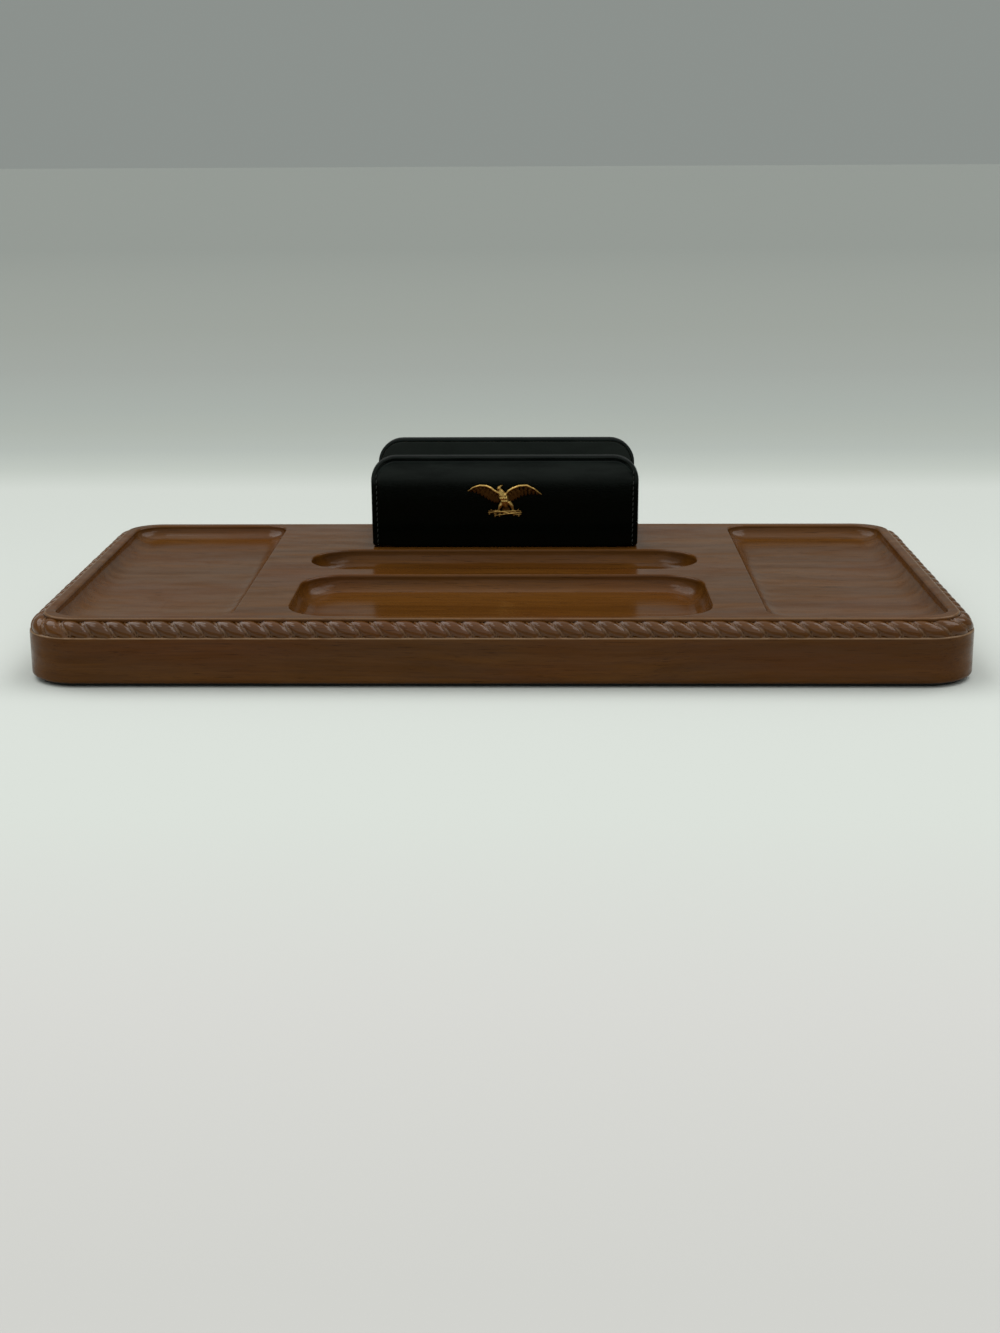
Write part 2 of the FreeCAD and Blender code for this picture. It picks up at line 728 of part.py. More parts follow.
def eagle_emblem(face):
    """Small cast eagle with spread wings on a bundle of twigs, and two bent prongs behind it. It lies on
    the leather's face. Places are shares of its width and height, from the middle of its foot, and
    thicknesses are shares of its relief."""
    width = size("eagle_width")
    height = size("eagle_height")
    plate = size("eagle_plate")
    relief = size("eagle_relief")
    foot = size("felt_thickness") + size("board_thickness") + size("eagle_foot_height")
    outwards = FreeCAD.Vector(0, -1, 0)

    # Wing: its leading edge from the root to the tip, with its thickness, and its trailing corner
    leading_edge = (
        (0.05, 0.70, 0.43),
        (0.16, 0.91, 0.45),
        (0.29, 0.99, 0.39),
        (0.41, 0.92, 0.27),
        (0.50, 0.72, 0.14),
    )
    trailing_corner = (0.07, 0.36)
    feathers = 5
    feather_sag = 0.04
    feather_notch = (0.025, 0.05)

    # Rounded forms: (x, z, place out from the leather, half width) for each section
    body = (
        (0.0, 0.28, 0.23, 0.32),
        (0.0, 0.42, 0.23, 0.73),
        (-0.02, 0.62, 0.23, 0.77),
        (-0.05, 0.8, 0.23, 0.45),
    )
    head = ((-0.065, 0.76, 0.32, 0.41), (-0.06, 0.86, 0.32, 0.59), (-0.045, 0.94, 0.32, 0.36))
    beak = ((-0.05, 0.90, 0.36, 0.32), (-0.012, 0.99, 0.32, 0.09))
    left_leg = ((-0.04, 0.44, 0.32, 0.41), (-0.08, 0.14, 0.32, 0.25))
    right_leg = ((0.04, 0.44, 0.32, 0.41), (0.085, 0.14, 0.32, 0.25))
    front_twig = ((-0.23, 0.19, 0.27, 0.32), (0.22, 0.10, 0.27, 0.30))
    back_twig = ((-0.22, 0.07, 0.27, 0.27), (0.23, 0.20, 0.27, 0.32))
    forms = [(body, 6), (beak, 4)]
    forms += [(places, 4) for places in (head, left_leg, right_leg, front_twig, back_twig)]

    def at(x, z, out=0.0):
        return FreeCAD.Vector(x * width, face - out, foot + z * height)

    def wing(side):
        """Flat wing with a point for each feather tip, and a thick leading edge."""
        rim = [(x, z) for x, z, thickness in leading_edge]
        tip_x, tip_z = rim[-1]
        for step in range(1, feathers + 1):
            share = step / feathers
            x = tip_x + (trailing_corner[0] - tip_x) * share
            z = tip_z + (trailing_corner[1] - tip_z) * share - feather_sag * math.sin(math.pi * share)
            rim.append((x + feather_notch[0], z + feather_notch[1]))
            rim.append((x, z))
        corners = [at(side * x, z) for x, z in rim]
        blade = Part.Face(Part.makePolygon(corners + corners[:1])).extrude(outwards * plate)
        edge = [(at(side * x, z, plate), share * relief, share * relief) for x, z, share in leading_edge]
        return [blade] + [tapered(pair, 4) for pair in zip(edge, edge[1:])]

    parts = wing(-1) + wing(1)
    for places, facets in forms:
        sections = [(at(x, z, out * relief), half * relief, half * relief) for x, z, out, half in places]
        parts.append(tapered(sections, facets))
    figure = parts[0].multiFuse(parts[1:])
    front_space = Part.makeBox(2 * width, relief, 2 * height, at(-1.0, -0.5, relief))
    figure = figure.common(front_space)

    # Each prong goes straight back through the panel and turns outwards behind the board
    wide = size("eagle_prong_width")
    thick = size("eagle_prong_thickness")
    bend = size("eagle_prong_bend")
    through = size("cover_thickness") + size("padding_thickness") + size("panel_board_thickness")
    level = foot + size("eagle_prong_height") - thick / 2
    for side in (-1, 1):
        middle = side * size("eagle_prong_spacing") / 2
        start = FreeCAD.Vector(middle - wide / 2, face - plate / 2, level)
        stem = Part.makeBox(wide, plate / 2 + through, thick, start)
        low_x = middle - wide / 2 - (bend if side < 0 else 0.0)
        turned = Part.makeBox(bend + wide, thick, thick, FreeCAD.Vector(low_x, face + through - thick, level))
        figure = figure.fuse(stem).fuse(turned)
    feature = doc.addObject("Part::Feature", "eagle_emblem")
    feature.Label = "eagle_emblem"
    feature.Shape = figure.removeSplitter()
    feature.Placement = FreeCAD.Placement()
    return feature


screw_pair = screws()
nodes = [felt_base(), tray_board(), rope_moulding(), screw_pair]
nodes += holder(screw_pair)
doc.recompute()
leather_front = doc.getObject("holder_cover").Shape.BoundBox.YMin
nodes.append(eagle_emblem(leather_front))

doc.recompute()
for item in doc.Objects:
    assert "Invalid" not in item.State and "Error" not in item.State, item.Label + " failed"
os.makedirs("parts", exist_ok=True)
for node in nodes:
    shape = node.Shape
    assert not shape.isNull() and shape.isValid(), node.Label + " has no valid shape"
    print("%-20s %d solid, %.0f mm3" % (node.Label, len(shape.Solids), shape.Volume))
    shape.exportStep("parts/%s.step" % node.Label)
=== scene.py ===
import math
from collections import namedtuple

import bmesh
import bpy
from mathutils import Matrix, Vector, noise
from mathutils.geometry import tessellate_polygon


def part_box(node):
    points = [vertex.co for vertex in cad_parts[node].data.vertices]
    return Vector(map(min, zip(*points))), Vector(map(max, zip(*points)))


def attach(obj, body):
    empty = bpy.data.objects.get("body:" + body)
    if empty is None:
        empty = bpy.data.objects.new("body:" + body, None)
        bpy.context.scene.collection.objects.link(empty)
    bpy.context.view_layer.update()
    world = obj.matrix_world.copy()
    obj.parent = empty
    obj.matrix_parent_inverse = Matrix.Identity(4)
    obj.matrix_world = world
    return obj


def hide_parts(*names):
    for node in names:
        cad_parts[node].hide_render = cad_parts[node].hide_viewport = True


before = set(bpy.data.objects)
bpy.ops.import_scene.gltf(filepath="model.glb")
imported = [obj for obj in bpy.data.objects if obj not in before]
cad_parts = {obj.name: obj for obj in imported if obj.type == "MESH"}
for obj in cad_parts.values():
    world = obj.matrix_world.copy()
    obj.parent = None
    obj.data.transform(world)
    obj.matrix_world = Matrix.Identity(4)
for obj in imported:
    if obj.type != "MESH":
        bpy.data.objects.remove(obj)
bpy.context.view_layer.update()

MM = 0.001
BODY = "root"

# Places that the solids give
tray_low, tray_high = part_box("tray_board")
felt_low, felt_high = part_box("felt_base")
cover_low, cover_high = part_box("holder_cover")
eagle_low, eagle_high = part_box("eagle_emblem")
screw_low, screw_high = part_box("holder_screws")
TRAY_WIDTH = tray_high.x - tray_low.x
TRAY_DEPTH = tray_high.y - tray_low.y
UNDERSIDE = tray_low.z
DECK = tray_high.z

# Board
TRAY_CORNER = 20.0 * MM
FOOT_ROUND = 1.6 * MM
LEDGE_ROUND = 0.7 * MM
DECK_ROUND = 0.8 * MM
RIM_ROUND = 1.1 * MM
FELT_INSET = 3.0 * MM
FELT_EDGE = 0.35 * MM
REBATE_WIDTH = 5.5 * MM
REBATE_DROP = 6.1 * MM
LEDGE = DECK - REBATE_DROP
SCREW_HEAD_RADIUS = 3.2 * MM
SCREW_HOLE_RADIUS = 1.9 * MM
COUNTERBORE_RADIUS = 4.2 * MM
COUNTERBORE_TOP = UNDERSIDE + 13.0 * MM

# Rope moulding
ROPE_RADIUS = 5.0 * MM
ROPE_INSET = 5.2 * MM
ROPE_SEAT = 0.3 * MM
ROPE_GLUE_LINE = 0.1 * MM
ROPE_GROOVE = 1.4 * MM
ROPE_BEAD = 0.8 * MM
ROPE_PITCH = 8.27 * MM
ROPE_LEAD = 21.0 * MM
ROPE_BEND_STEPS = 40

# Recesses: middle, width, depth along Y, sink, corner radii, reach and height of the cove at the floor,
# and how far the floor rises by the front and back walls, over a reach from them
DISH_REACH = 40.0 * MM
SIDE_WELL_MIDDLE = 134.2 * MM
SIDE_WELL_SIZE = (67.6 * MM, 175.0 * MM)
SIDE_WELL_SINK = 6.6 * MM
SIDE_WELL_CORNERS = (9.0 * MM, 12.0 * MM)
SIDE_WELL_COVE = (8.4 * MM, 5.9 * MM)
SIDE_WELL_DISH = 2.3 * MM
FRONT_WELL_MIDDLE = -52.5 * MM
FRONT_WELL_SIZE = (160.4 * MM, 70.0 * MM)
FRONT_WELL_SINK = 8.0 * MM
FRONT_WELL_CORNER = 17.0 * MM
FRONT_WELL_COVE = (6.9 * MM, 6.9 * MM)
FRONT_WELL_DISH = 2.3 * MM
TROUGH_MIDDLE = 14.0 * MM
TROUGH_SIZE = (162.0 * MM, 39.0 * MM)
TROUGH_SINK = 8.0 * MM
TROUGH_COVE = (6.9 * MM, 6.9 * MM)
TROUGH_DISH = 1.6 * MM
FLOOR_CLOSINGS = (0.04, 0.10, 0.18, 0.28, 0.40, 0.54, 0.70, 0.86, 0.97)
COVE_UNEVEN = 0.22 * MM
FLOOR_UNEVEN = 0.012 * MM

# Holder
PANEL = 5.0 * MM
BASE = 7.0 * MM
PANEL_CORNER = 11.0 * MM
COVER = 1.1 * MM
COVER_EDGE = 0.9 * MM
HEM = 1.5 * MM
PADDING = 0.8 * MM
LINING = 0.9 * MM
LINING_GAP = 0.12 * MM
LINING_EDGE = 0.3 * MM
FOLD_OUTSIDE = 1.6 * MM
FOLD_INSIDE = 1.2 * MM
FOOT_LIFT = 0.9 * MM
FOOT_LIFT_REACH = 13.0 * MM
FOOT_LIFT_HEIGHT = 6.0 * MM
FOOT_LEAN = 0.85 * MM
INSIDE_LEAN = 0.4
LEAN_HEIGHT = 31.0 * MM
FOLD_REACH = 6.0 * MM
NARROWED = 0.9965
FOOT_NARROWED = 0.004
STITCH_INSET = 2.3 * MM
STITCH_PITCH = 2.3 * MM
STITCH_LENGTH = 1.75 * MM
STITCH_THICKNESS = 0.42 * MM
STITCH_SLANT = math.radians(9)
STITCH_TOP = 58.0 * MM

# Padded face and the crease of its seam, each at a panel's sides and along its top
CROWN_WIDTH = (3.2 * MM, 6.5 * MM)
CROWN_SETBACK = (0.42 * MM, 0.5 * MM)
SEAM_INSET = (STITCH_INSET, 1.7 * MM)
SEAM_DEPTH = (0.35 * MM, 0.85 * MM)
SEAM_HALF_WIDTH = 0.42 * MM

# Steps of the holder's sheets: across them, round their corners, round the folds and along the U
ACROSS_STEPS = 26
CORNER_STEPS = 10
FOLD_STEPS = 6
NEAR_SHARES = (0.0, 0.05, 0.12, 0.2, 0.3, 0.4, 0.5, 0.6, 0.7, 0.8, 0.88)
UPRIGHT_SHARES = (*NEAR_SHARES, 0.94, 1.0)
FLOOR_SHARES = (*NEAR_SHARES, 0.95, 1.0)

# Eagle: height of its foot over the deck, and its two prongs
EAGLE_FOOT = DECK + 13.4 * MM
PRONG_PLACE = 4.5 * MM
PRONG_HALF_WIDTH = 0.9 * MM
PRONG_HALF_HEIGHT = 0.3 * MM
PRONG_LENGTH = COVER + PADDING + 2.2 * MM
PRONG_TURN = 4.9 * MM
PRONG_LEVEL = EAGLE_FOOT + 9.4 * MM

# Camera, fitted to the photograph's straight edges and round corners
CAMERA_PLACE = Vector((14.504, -795.643, 196.375)) * MM
CAMERA_PITCH = 0.2631
CAMERA_YAW = -0.0203
CAMERA_ROLL = -0.0051
CAMERA_LENS = 52.92
SENSOR = 36.0

# Colours of the wood
WALNUT_LIGHT = (0.101, 0.0378, 0.0056)
WALNUT_DARK = (0.040, 0.0136, 0.0021)
WALNUT_RED = (0.088, 0.0245, 0.0036)
WALNUT_PORE = (0.008, 0.004, 0.002)
# Paler colour of the free edges and rope beads, and its shares: a painted highlight where light catches them,
# and rubbed finish
WALNUT_EDGE_HIGHLIGHT_AND_WEAR = (0.22, 0.138, 0.078)
LEDGE_HIGHLIGHT_AND_WEAR = 0.8
DECK_HIGHLIGHT_AND_WEAR = 0.35
BEAD_HIGHLIGHT_AND_WEAR = 0.3

# Colours of the leather
COVER_DYE = (0.0001, 0.0010, 0.0007)
LINING_DYE = (0.0150, 0.0190, 0.0167)
LEATHER_DUST = (0.05, 0.055, 0.05)
HEM_DYE = (0.0125, 0.0155, 0.0140)
HANDLED = (0.0001, 0.0015, 0.0011)
# Colour of the painted sheen below the holder's upper edge
PAINTED_SHEEN = (0.014, 0.0190, 0.0170)
RAW_EDGE = (0.22, 0.15, 0.07)

# Paper floor: the run along Y that its tones cover, and its tones, each a distance along Y and a colour. The
# tones are painted light and shade: lightest round the tray, darker in front of it, and fading to grey far
# behind it
FLOOR_RUN = (-0.6, 3.0)
FLOOR_TONES = (
    (-0.49, (0.466, 0.466, 0.456)),
    (-0.37, (0.502, 0.502, 0.493)),
    (-0.24, (0.519, 0.547, 0.524)),
    (-0.11, (0.524, 0.553, 0.532)),
    (0.27, (0.481, 0.508, 0.487)),
    (0.33, (0.476, 0.502, 0.481)),
    (0.40, (0.389, 0.417, 0.393)),
    (0.48, (0.331, 0.357, 0.340)),
    (0.57, (0.307, 0.331, 0.311)),
    (0.68, (0.287, 0.311, 0.295)),
    (0.94, (0.261, 0.279, 0.265)),
    (1.32, (0.244, 0.261, 0.244)),
    (2.90, (0.211, 0.228, 0.215)),
)

# Light that the world gives, the tone that it shows behind the floor, and the lamps: name, energy, width
# in degrees, and way from the floor to it
ROOM_LIGHT = (0.46, 0.48, 0.46)
ROOM_SEEN = (0.262, 0.284, 0.268)
LAMP_COLOUR = (1.0, 0.99, 0.97)
LAMPS = (
    ("soft_sky", 1.35, 110, (-0.10, -0.14, 1.0)),
    ("front_left_lamp", 0.22, 20, (-0.42, -0.10, 0.90)),
    ("front_right_lamp", 0.22, 20, (0.42, -0.10, 0.90)),
    ("left_window", 0.75, 40, (-0.50, 0.38, 0.78)),
    ("right_window", 0.75, 40, (0.50, 0.38, 0.78)),
)


def lerp(a, b, share):
    return a + (b - a) * share


def smooth(low, high, x):
    """0 below low, 1 above high, and an easy rise between them."""
    share = min(1.0, max(0.0, (x - low) / (high - low)))
    return share * share * (3 - 2 * share)


# Node trees


class Graph:
    """Short calls that add and wire the nodes of one tree."""

    def __init__(self, tree):
        self.tree = tree

    def add(self, kind, inputs=None, **settings):
        node = self.tree.nodes.new(kind)
        for name, value in settings.items():
            setattr(node, name, value)
        for name, value in (inputs or {}).items():
            self.feed(node.inputs[name], value)
        return node

    def feed(self, socket, value):
        if isinstance(value, bpy.types.NodeSocket):
            self.tree.links.new(value, socket)
        elif socket.type == "RGBA":
            socket.default_value = (*value, 1.0)
        else:
            socket.default_value = value

    def math(self, operation, a, b=0.0, c=0.0):
        node = self.add("ShaderNodeMath", operation=operation)
        for socket, value in zip(node.inputs, (a, b, c)):
            self.feed(socket, value)
        return node.outputs[0]

    def plus(self, a, b):
        return self.math("ADD", a, b)

    def minus(self, a, b):
        return self.math("SUBTRACT", a, b)

    def times(self, a, b):
        return self.math("MULTIPLY", a, b)

    def vector(self, operation, a, b=(0.0, 0.0, 0.0)):
        node = self.add("ShaderNodeVectorMath", operation=operation)
        self.feed(node.inputs[0], a)
        self.feed(node.inputs["Scale" if operation == "SCALE" else 1], b)
        return node.outputs["Value" if operation == "LENGTH" else 0]

    def combine(self, x, y, z):
        return self.add("ShaderNodeCombineXYZ", {"X": x, "Y": y, "Z": z}).outputs[0]

    def separate(self, vector):
        node = self.add("ShaderNodeSeparateXYZ", {"Vector": vector})
        return node.outputs["X"], node.outputs["Y"], node.outputs["Z"]

    def between(self, value, low, high, to_low=0.0, to_high=1.0):
        """Smooth step of a value from one range to another."""
        inputs = {"Value": value, "From Min": low, "From Max": high, "To Min": to_low, "To Max": to_high}
        return self.add("ShaderNodeMapRange", inputs, interpolation_type="SMOOTHSTEP").outputs["Result"]

    def noise(self, vector, scale, detail=2.0, roughness=0.5):
        """Noise at one scale, or at a scale for each axis."""
        if isinstance(scale, tuple):
            vector = self.vector("MULTIPLY", vector, scale)
            scale = 1.0
        inputs = {"Vector": vector, "Scale": scale, "Detail": detail, "Roughness": roughness}
        return self.add("ShaderNodeTexNoise", inputs).outputs["Fac"]

    def mix(self, share, a, b):
        """Colour from a to b."""
        node = self.add("ShaderNodeMix", data_type="RGBA")
        for index, value in ((0, share), (6, a), (7, b)):
            self.feed(node.inputs[index], value)
        return node.outputs[2]


def new_group(name, inputs, outputs):
    """Shader group with typed, named sockets. Gives its graph and its two ends."""
    tree = bpy.data.node_groups.new(name, "ShaderNodeTree")
    for label, kind in inputs:
        tree.interface.new_socket(label, in_out="INPUT", socket_type="NodeSocket" + kind)
    for label, kind in outputs:
        tree.interface.new_socket(label, in_out="OUTPUT", socket_type="NodeSocket" + kind)
    graph = Graph(tree)
    return graph, graph.add("NodeGroupInput").outputs, graph.add("NodeGroupOutput").inputs


def wood_figure_group():
    """Figure of planed and lacquered hardwood with its grain along X: growth bands, fine streaks and
    short dark pores. Place is in millimetres."""
    graph, given, out = new_group(
        "wood_figure",
        [("Place", "Vector"), ("Light", "Color"), ("Dark", "Color"), ("Red", "Color")],
        [("Color", "Color"), ("Roughness", "Float"), ("Gloss", "Float"), ("Height", "Float")],
    )
    place, dark = given["Place"], given["Dark"]
    sway = graph.noise(place, (0.006, 0.02, 0.02))
    swayed = graph.vector("ADD", place, graph.combine(0.0, graph.times(sway, 26.0), graph.times(sway, 9.0)))
    bands = graph.noise(swayed, (0.003, 0.11, 0.11), 4.0, 0.6)
    streaks = graph.noise(swayed, (0.018, 0.5, 1.4), 3.0, 0.6)
    fibres = graph.noise(swayed, (0.05, 4.0, 4.0), 2.0, 0.6)
    pores = graph.between(graph.noise(swayed, (0.075, 1.5, 4.5)), 0.62, 0.72)
    patches = graph.noise(place, (0.012, 0.016, 0.05))

    banded = graph.mix(graph.times(graph.between(bands, 0.32, 0.68), 0.55), given["Light"], dark)
    reddened = graph.mix(graph.between(patches, 0.4, 0.75, 0.0, 0.5), banded, given["Red"])
    streaked = graph.mix(graph.times(graph.between(streaks, 0.3, 0.7), 0.30), reddened, dark)
    fibred = graph.mix(graph.times(graph.between(fibres, 0.25, 0.75), 0.16), streaked, dark)
    graph.feed(out["Color"], graph.mix(graph.times(pores, 0.55), fibred, WALNUT_PORE))
    rough = graph.plus(graph.times(streaks, 0.16), graph.times(pores, 0.2))
    graph.feed(out["Roughness"], graph.plus(rough, 0.34))
    # The lacquer is thin over the pores and where the wood soaked it up
    soaked = graph.between(graph.noise(swayed, (0.03, 0.12, 0.3), 4.0, 0.65), 0.35, 0.7)
    thinned = graph.math("MULTIPLY_ADD", soaked, -0.30, 0.84)
    graph.feed(out["Gloss"], graph.minus(thinned, graph.times(pores, 0.3)))
    relief = graph.minus(graph.times(fibres, 0.25), graph.times(pores, 0.8))
    graph.feed(out["Height"], graph.plus(relief, graph.times(streaks, 0.4)))
    return graph.tree


def hide_grain_group():
    """Fine grain of a smooth hide: small flat pebbles between creases, and slow wrinkles."""
    graph, given, out = new_group(
        "hide_grain",
        [("Place", "Vector"), ("Pebble", "Float")],
        [("Height", "Float"), ("Crease", "Float"), ("Wrinkle", "Float")],
    )
    place = given["Place"]
    wobble = graph.noise(place, 0.9)
    moved = graph.vector("ADD", place, graph.vector("SCALE", graph.combine(wobble, wobble, wobble), 0.6))
    cell = graph.add(
        "ShaderNodeTexVoronoi",
        {"Vector": moved, "Scale": given["Pebble"], "Randomness": 1.0},
        feature="DISTANCE_TO_EDGE",
    ).outputs["Distance"]
    crease = graph.between(cell, 0.0, 0.16, 1.0, 0.0)
    wrinkle = graph.noise(place, (0.10, 0.16, 0.22), 3.0, 0.55)
    pebbled = graph.plus(graph.times(crease, -0.45), graph.times(graph.noise(place, 6.0), 0.2))
    graph.feed(out["Height"], graph.math("MULTIPLY_ADD", wrinkle, 1.6, pebbled))
    graph.feed(out["Crease"], crease)
    graph.feed(out["Wrinkle"], wrinkle)
    return graph.tree


def dust_group():
    """Faint specks and smudges that lighten a dark surface."""
    graph, given, out = new_group("dust", [("Place", "Vector"), ("Amount", "Float")], [("Share", "Float")])
    smudge = graph.between(graph.noise(given["Place"], 0.06, 4.0, 0.6), 0.5, 0.8)
    speck = graph.between(graph.noise(given["Place"], 2.2, 1.0), 0.72, 0.8)
    total = graph.plus(graph.times(smudge, 0.6), speck)
    graph.feed(out["Share"], graph.times(total, given["Amount"]))
    return graph.tree


# Materials


def new_material(name):
    material = bpy.data.materials.new(name)
    material.use_nodes = True
    return material, Graph(material.node_tree)


def place_in_mm(graph):
    """Object coordinates in millimetres."""
    return graph.vector("SCALE", graph.add("ShaderNodeTexCoord").outputs["Object"], 1 / MM)


def finish(graph, inputs, height=None, distance=0.0, strength=1.0):
    """Feed the material's shader, with a height over its surface as a bump of at most a distance."""
    shader = graph.tree.nodes["Principled BSDF"]
    for name, value in inputs.items():
        graph.feed(shader.inputs[name], value)
    if height is not None:
        bump = graph.add("ShaderNodeBump", {"Height": height, "Distance": distance, "Strength": strength})
        graph.feed(shader.inputs["Normal"], bump.outputs["Normal"])


def edge_highlight_and_wear(graph, place):
    """Share of painted highlight and wear on the board's two outer edges that stand free: the ledge's and the
    deck's.
    """
    x, y, z = graph.separate(place)
    corner = TRAY_CORNER / MM
    past = [
        graph.math("MAXIMUM", graph.minus(graph.math("ABSOLUTE", value), half / MM - corner), 0.0)
        for value, half in ((x, TRAY_WIDTH / 2), (y, TRAY_DEPTH / 2))
    ]
    from_side = graph.minus(corner, graph.vector("LENGTH", graph.combine(*past, 0.0)))
    total = 0.0
    for level, inset, amount in (
        (LEDGE - 0.2 * MM, 0.0, LEDGE_HIGHLIGHT_AND_WEAR),
        (DECK - 0.15 * MM, REBATE_WIDTH + 0.3 * MM, DECK_HIGHLIGHT_AND_WEAR),
    ):
        above = graph.math("ABSOLUTE", graph.minus(z, level / MM))
        inside = graph.math("ABSOLUTE", graph.minus(from_side, inset / MM))
        near = graph.times(
            graph.between(above, 0.2, 0.5, amount, 0.0),
            graph.between(inside, 0.3, 0.9, 1.0, 0.0),
        )
        total = graph.plus(near, total)
    return graph.times(total, graph.between(graph.noise(place, (0.16, 0.3, 0.3), 3.0), 0.25, 0.5, 0.45, 1.0))


def board_surface(graph):
    """Place in the board in millimetres, and the share of it that is paler with painted highlight and wear.
    """
    place = place_in_mm(graph)
    return place, edge_highlight_and_wear(graph, place)


def rope_surface(graph):
    """Place along, out from and above the moulding's centre line, so that its grain follows it, and the
    share of it that is paler with painted highlight and wear: its thin beads."""
    place = graph.add("ShaderNodeAttribute", attribute_name="grain_place").outputs["Vector"]
    bead = graph.add("ShaderNodeAttribute", attribute_name="bead").outputs["Fac"]
    return graph.vector("SCALE", place, 1 / MM), graph.times(bead, BEAD_HIGHLIGHT_AND_WEAR)


def walnut(name, figure, surface, coat_ior, coat_roughness):
    """Lacquered walnut. surface gives the grain's place and the share of painted edge highlight and wear in
    the material's graph.
    """
    material, graph = new_material(name)
    # wear is the share of the paler colour: painted highlight on the free edges and beads, and their wear
    place, wear = surface(graph)
    grain = graph.add(
        "ShaderNodeGroup",
        {"Place": place, "Light": WALNUT_LIGHT, "Dark": WALNUT_DARK, "Red": WALNUT_RED},
        node_tree=figure,
    ).outputs
    inputs = {
        "Base Color": graph.mix(wear, grain["Color"], WALNUT_EDGE_HIGHLIGHT_AND_WEAR),
        "Roughness": grain["Roughness"],
        "Specular IOR Level": 0.0,
        "Coat Weight": grain["Gloss"],
        "Coat Roughness": coat_roughness,
        "Coat IOR": coat_ior,
    }
    finish(graph, inputs, grain["Height"], 0.06 * MM, 0.6)
    return material


def leather(name, hide, dust, dye, roughness, marks=None):
    """Near-black smooth leather. marks, given the graph, the place in millimetres, the way the surface
    faces and its colour, gives the colour with what use has left on it and a painted sheen."""
    material, graph = new_material(name)
    place = place_in_mm(graph)
    grain = graph.add("ShaderNodeGroup", {"Place": place, "Pebble": 1.5}, node_tree=hide).outputs
    settled = graph.add("ShaderNodeGroup", {"Place": place, "Amount": 0.02}, node_tree=dust).outputs
    facing = graph.separate(graph.add("ShaderNodeNewGeometry").outputs["Normal"])
    dyed = graph.mix(grain["Wrinkle"], dye, [1.6 * value for value in dye])
    colour = graph.mix(settled["Share"], dyed, LEATHER_DUST)
    if marks:
        colour = marks(graph, place, facing, colour)
    grained = graph.math("MULTIPLY_ADD", grain["Crease"], 0.05, roughness)
    matt_edge = graph.between(facing[2], 0.25, 0.8, 0.0, 0.4)
    inputs = {
        "Base Color": colour,
        "Roughness": graph.plus(grained, matt_edge),
        "Specular IOR Level": 0.10,
    }
    finish(graph, inputs, grain["Height"], 0.05 * MM, 0.17)
    return material


def cover_marks(graph, place, facing, colour):
    """Marks of the holder's outer leather: a paler hem low in the slot, a darker upper part where hands
    took hold, a painted sheen in patches on its upright faces below its upper edge, and its raw edge at the
    left foot of the front."""
    x, y, z = graph.separate(place)
    deck, top, left, front = (value / MM for value in (DECK, cover_high.z, cover_low.x, cover_low.y))
    from_middle = graph.minus((cover_low.y + cover_high.y) / 2 / MM, y)
    inwards = graph.between(graph.times(from_middle, facing[1]), 4.0, 14.0)
    hemmed = graph.mix(inwards, colour, HEM_DYE)
    handled = graph.mix(graph.between(z, deck + 6.0, deck + 26.0), hemmed, HANDLED)

    # Painted sheen: a paler band, in patches, on the upright faces below the top edge, where the crowned
    # leather reflects the sky
    cloud = graph.between(graph.noise(place, (0.05, 0.2, 0.3), 3.0), 0.25, 0.7, 0.4, 1.0)
    upright = graph.between(facing[2], 0.3, 0.7, 1.0, 0.0)
    upper = graph.times(graph.between(z, top - 15.5, top - 7.0), upright)
    sheened = graph.mix(graph.times(upper, cloud), handled, PAINTED_SHEEN)

    at_foot = graph.times(
        graph.between(z, deck + 0.3, deck + 0.9, 1.0, 0.0),
        graph.between(x, left + 7.5, left + 9.0, 1.0, 0.0),
    )
    at_front = graph.between(y, front + 1.6, front + 3.0, 1.0, 0.0)
    frayed = graph.between(graph.noise(place, 0.8, 3.0), 0.35, 0.6)
    return graph.mix(graph.times(at_foot, graph.times(at_front, frayed)), sheened, RAW_EDGE)


def antique_brass():
    """Cast brass: bright on what stands out, brown in what lies back against the leather."""
    material, graph = new_material("antique_brass")
    place = place_in_mm(graph)
    out_of_panel = graph.minus(cover_low.y / MM, graph.separate(place)[1])
    tarnish = graph.noise(place, 0.7, 3.0)
    shade = graph.between(graph.math("MULTIPLY_ADD", tarnish, 0.9, out_of_panel), 1.6, 2.85)
    inputs = {
        "Base Color": graph.mix(shade, (0.105, 0.047, 0.012), (0.74, 0.49, 0.155)),
        "Roughness": graph.between(shade, 0.0, 1.0, 0.52, 0.27),
        "Metallic": 1.0,
    }
    finish(graph, inputs, graph.noise(place, 2.6, 3.0), 0.05 * MM, 0.5)
    return material


def felt():
    """Dense dark felt, fuzzy and a little matted along the tray."""
    material, graph = new_material("felt")
    place = place_in_mm(graph)
    fuzz = graph.noise(place, 3.4, 4.0, 0.7)
    matted = graph.noise(place, (0.5, 0.9, 0.5), 3.0)
    colour = graph.mix(graph.between(fuzz, 0.3, 0.7), (0.010, 0.011, 0.010), (0.030, 0.032, 0.029))
    inputs = {
        "Base Color": graph.mix(graph.times(matted, 0.3), colour, (0.04, 0.042, 0.038)),
        "Roughness": graph.between(matted, 0.2, 0.8, 0.85, 1.0),
        "Sheen Weight": 0.15,
        "Specular IOR Level": 0.2,
    }
    finish(graph, inputs, graph.plus(fuzz, matted), 0.25 * MM)
    return material


